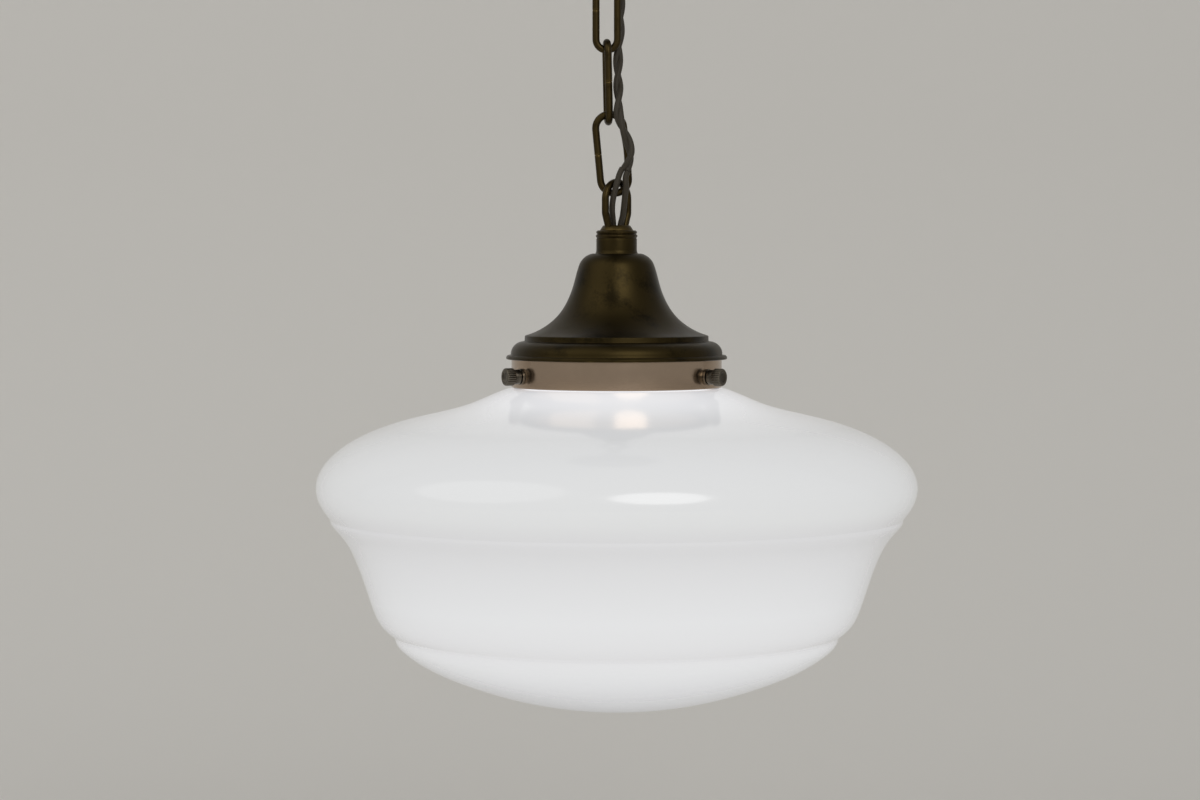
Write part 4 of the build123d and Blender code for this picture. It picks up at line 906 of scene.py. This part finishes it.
zinc = plain_metal("zinc_plated_steel", "A9A9A4", 0.34, 2.0)
plain_brass = plain_metal("plain_brass", "B8955A", 0.30, 2.0)
rolled = plain_metal("rolled_nickel", "B4B2AC", 0.22, 3.0)
tungsten = plain_metal("tungsten_wire", "6A6660", 0.40, 1.0)
porcelain = moulded("glazed_porcelain", "E9E7E0", "EFEDE6", 0.14, 9.0, coat=0.4)
block_plastic = moulded("urea_moulding", "DEDACC", "E5E1D4", 0.42, 3.0)
black_glass = moulded("black_insulating_glass", "0E0E10", "16161A", 0.10, 4.0)
bulb_glass = moulded("frosted_bulb_glass", "E6E2D8", "EDE9E0", 0.30, 8.0)
shader = bulb_glass.node_tree.nodes["Principled BSDF"]
shader.inputs["Emission Color"].default_value = linear("FFF3DC")
shader.inputs["Emission Strength"].default_value = 1.0
stem_glass = moulded("clear_stem_glass", "C9D2D2", "D3DBDB", 0.05, 8.0)

# %% Finishes on the pieces
finishes = {
    "aged_brass": spun_brass, "cast_brass": cast_brass, "chain_metal": wire_brass, "band_metal": band_metal,
    "screw_brass": knurl_brass, "tube_steel": zinc, "bar_steel": zinc, "opal_glass": opal,
    "bulb_glass": bulb_glass, "porcelain": porcelain, "cap_metal": rolled, "black_glass": black_glass,
    "solder": zinc, "clear_glass": stem_glass, "filament": tungsten, "block_plastic": block_plastic,
    "contact_brass": plain_brass, "cord_cover": woven, "lead_cover": woven,
}
slot_of_node = {part["node"]: part["material_slot"] for part in frame["record"]["subparts"]}
for name, node in frame["nodes"].items():
    node.data.materials.clear()
    node.data.materials.append(finishes[slot_of_node[name]])
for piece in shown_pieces():
    if piece.get("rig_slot"):
        piece.data.materials.clear()
        piece.data.materials.append(finishes[piece["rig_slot"]])
print("finished", len(frame["nodes"]), "nodes with", len(set(finishes.values())), "materials")

# %% [markdown]
# ## Floor, backdrop and light
#
# A lamp hangs, so the floor lies well below it and sweeps up behind it without a corner. The sweep and the
# world are pale. The sweep is clear to a camera that stands behind it, as if it were drawn aside, so the
# lamp can be looked at from every side. The light is plain and soft: a large lamp above the camera and to
# its right, which leaves a soft patch on the bell and on the shade's shoulder, a larger one high on the
# left, and an even world.

# %% Stage and lights
FLOOR = -700.0
BEND_START = 900
BEND = 600
bend = arc(
    (BEND_START, FLOOR), (BEND_START + BEND * 0.7071, FLOOR + BEND * 0.2929),
    (BEND_START + BEND, FLOOR + BEND), 24,
)
sweep_line = joined([(-2600, FLOOR), (BEND_START, FLOOR)], bend, [(BEND_START + BEND, 2600)])
across_stage = np.broadcast_to(np.linspace(4200, -4200, 3)[None], (len(sweep_line), 3))
grid = np.stack(
    [across_stage, np.repeat(sweep_line[:, :1], 3, axis=1), np.repeat(sweep_line[:, 1:], 3, axis=1)], axis=-1
)
u, v = np.meshgrid(np.arange(len(sweep_line)), np.arange(3), indexing="ij")
floor = mesh_of("sweep", grid, np.stack([u, v], axis=-1).astype(float), False, False, 60)
paper, tree, shader = finish_named("pale_paper", Roughness=0.9)
shader.inputs["Base Color"].default_value = linear("E0DEDA")
from_behind = add(tree, "NewGeometry").outputs["Backfacing"]
looking = add(tree, "LightPath").outputs["Is Camera Ray"]
hidden = add(tree, "Math", {"operation": "MULTIPLY"}, i0=from_behind, i1=looking).outputs[0]
clear = add(tree, "BsdfTransparent").outputs[0]
either = add(tree, "MixShader", i0=hidden, i1=shader.outputs[0], i2=clear).outputs[0]
tree.links.new(either, tree.nodes["Material Output"].inputs["Surface"])
floor.data.materials.append(paper)


def soft_light(name, spot, aim, size, power):
    data = bpy.data.lights.new(name, "AREA")
    data.shape = "DISK"
    data.size = size
    data.energy = power
    light = bpy.data.objects.new(name, data)
    light.location = spot
    light.rotation_euler = (Vector(aim) - Vector(spot)).to_track_quat("-Z", "Y").to_euler()
    light.visible_camera = False
    bpy.context.collection.objects.link(light)


soft_light("key", (0.62, -2.05, 0.95), (0, 0, -0.35), 1.5, 18)
soft_light("fill", (-2.0, -1.3, 1.5), (0, 0, -0.35), 3.0, 18)

world = bpy.data.worlds.new("studio")
world.use_nodes = True
bpy.context.scene.world = world
tree = world.node_tree
background = tree.nodes["Background"]
background.inputs["Color"].default_value = linear("F4F3F0")
path = add(tree, "LightPath")
rays = [path.outputs["Is Camera Ray"], path.outputs["Is Transmission Ray"]]
seen = add(tree, "Math", {"operation": "MAXIMUM"}, i0=rays[0], i1=rays[1])
strength = add(tree, "MapRange", Value=seen.outputs[0], To_Min=0.45, To_Max=1.0)
tree.links.new(strength.outputs["Result"], background.inputs["Strength"])
bpy.context.scene.view_settings.view_transform = "Standard"
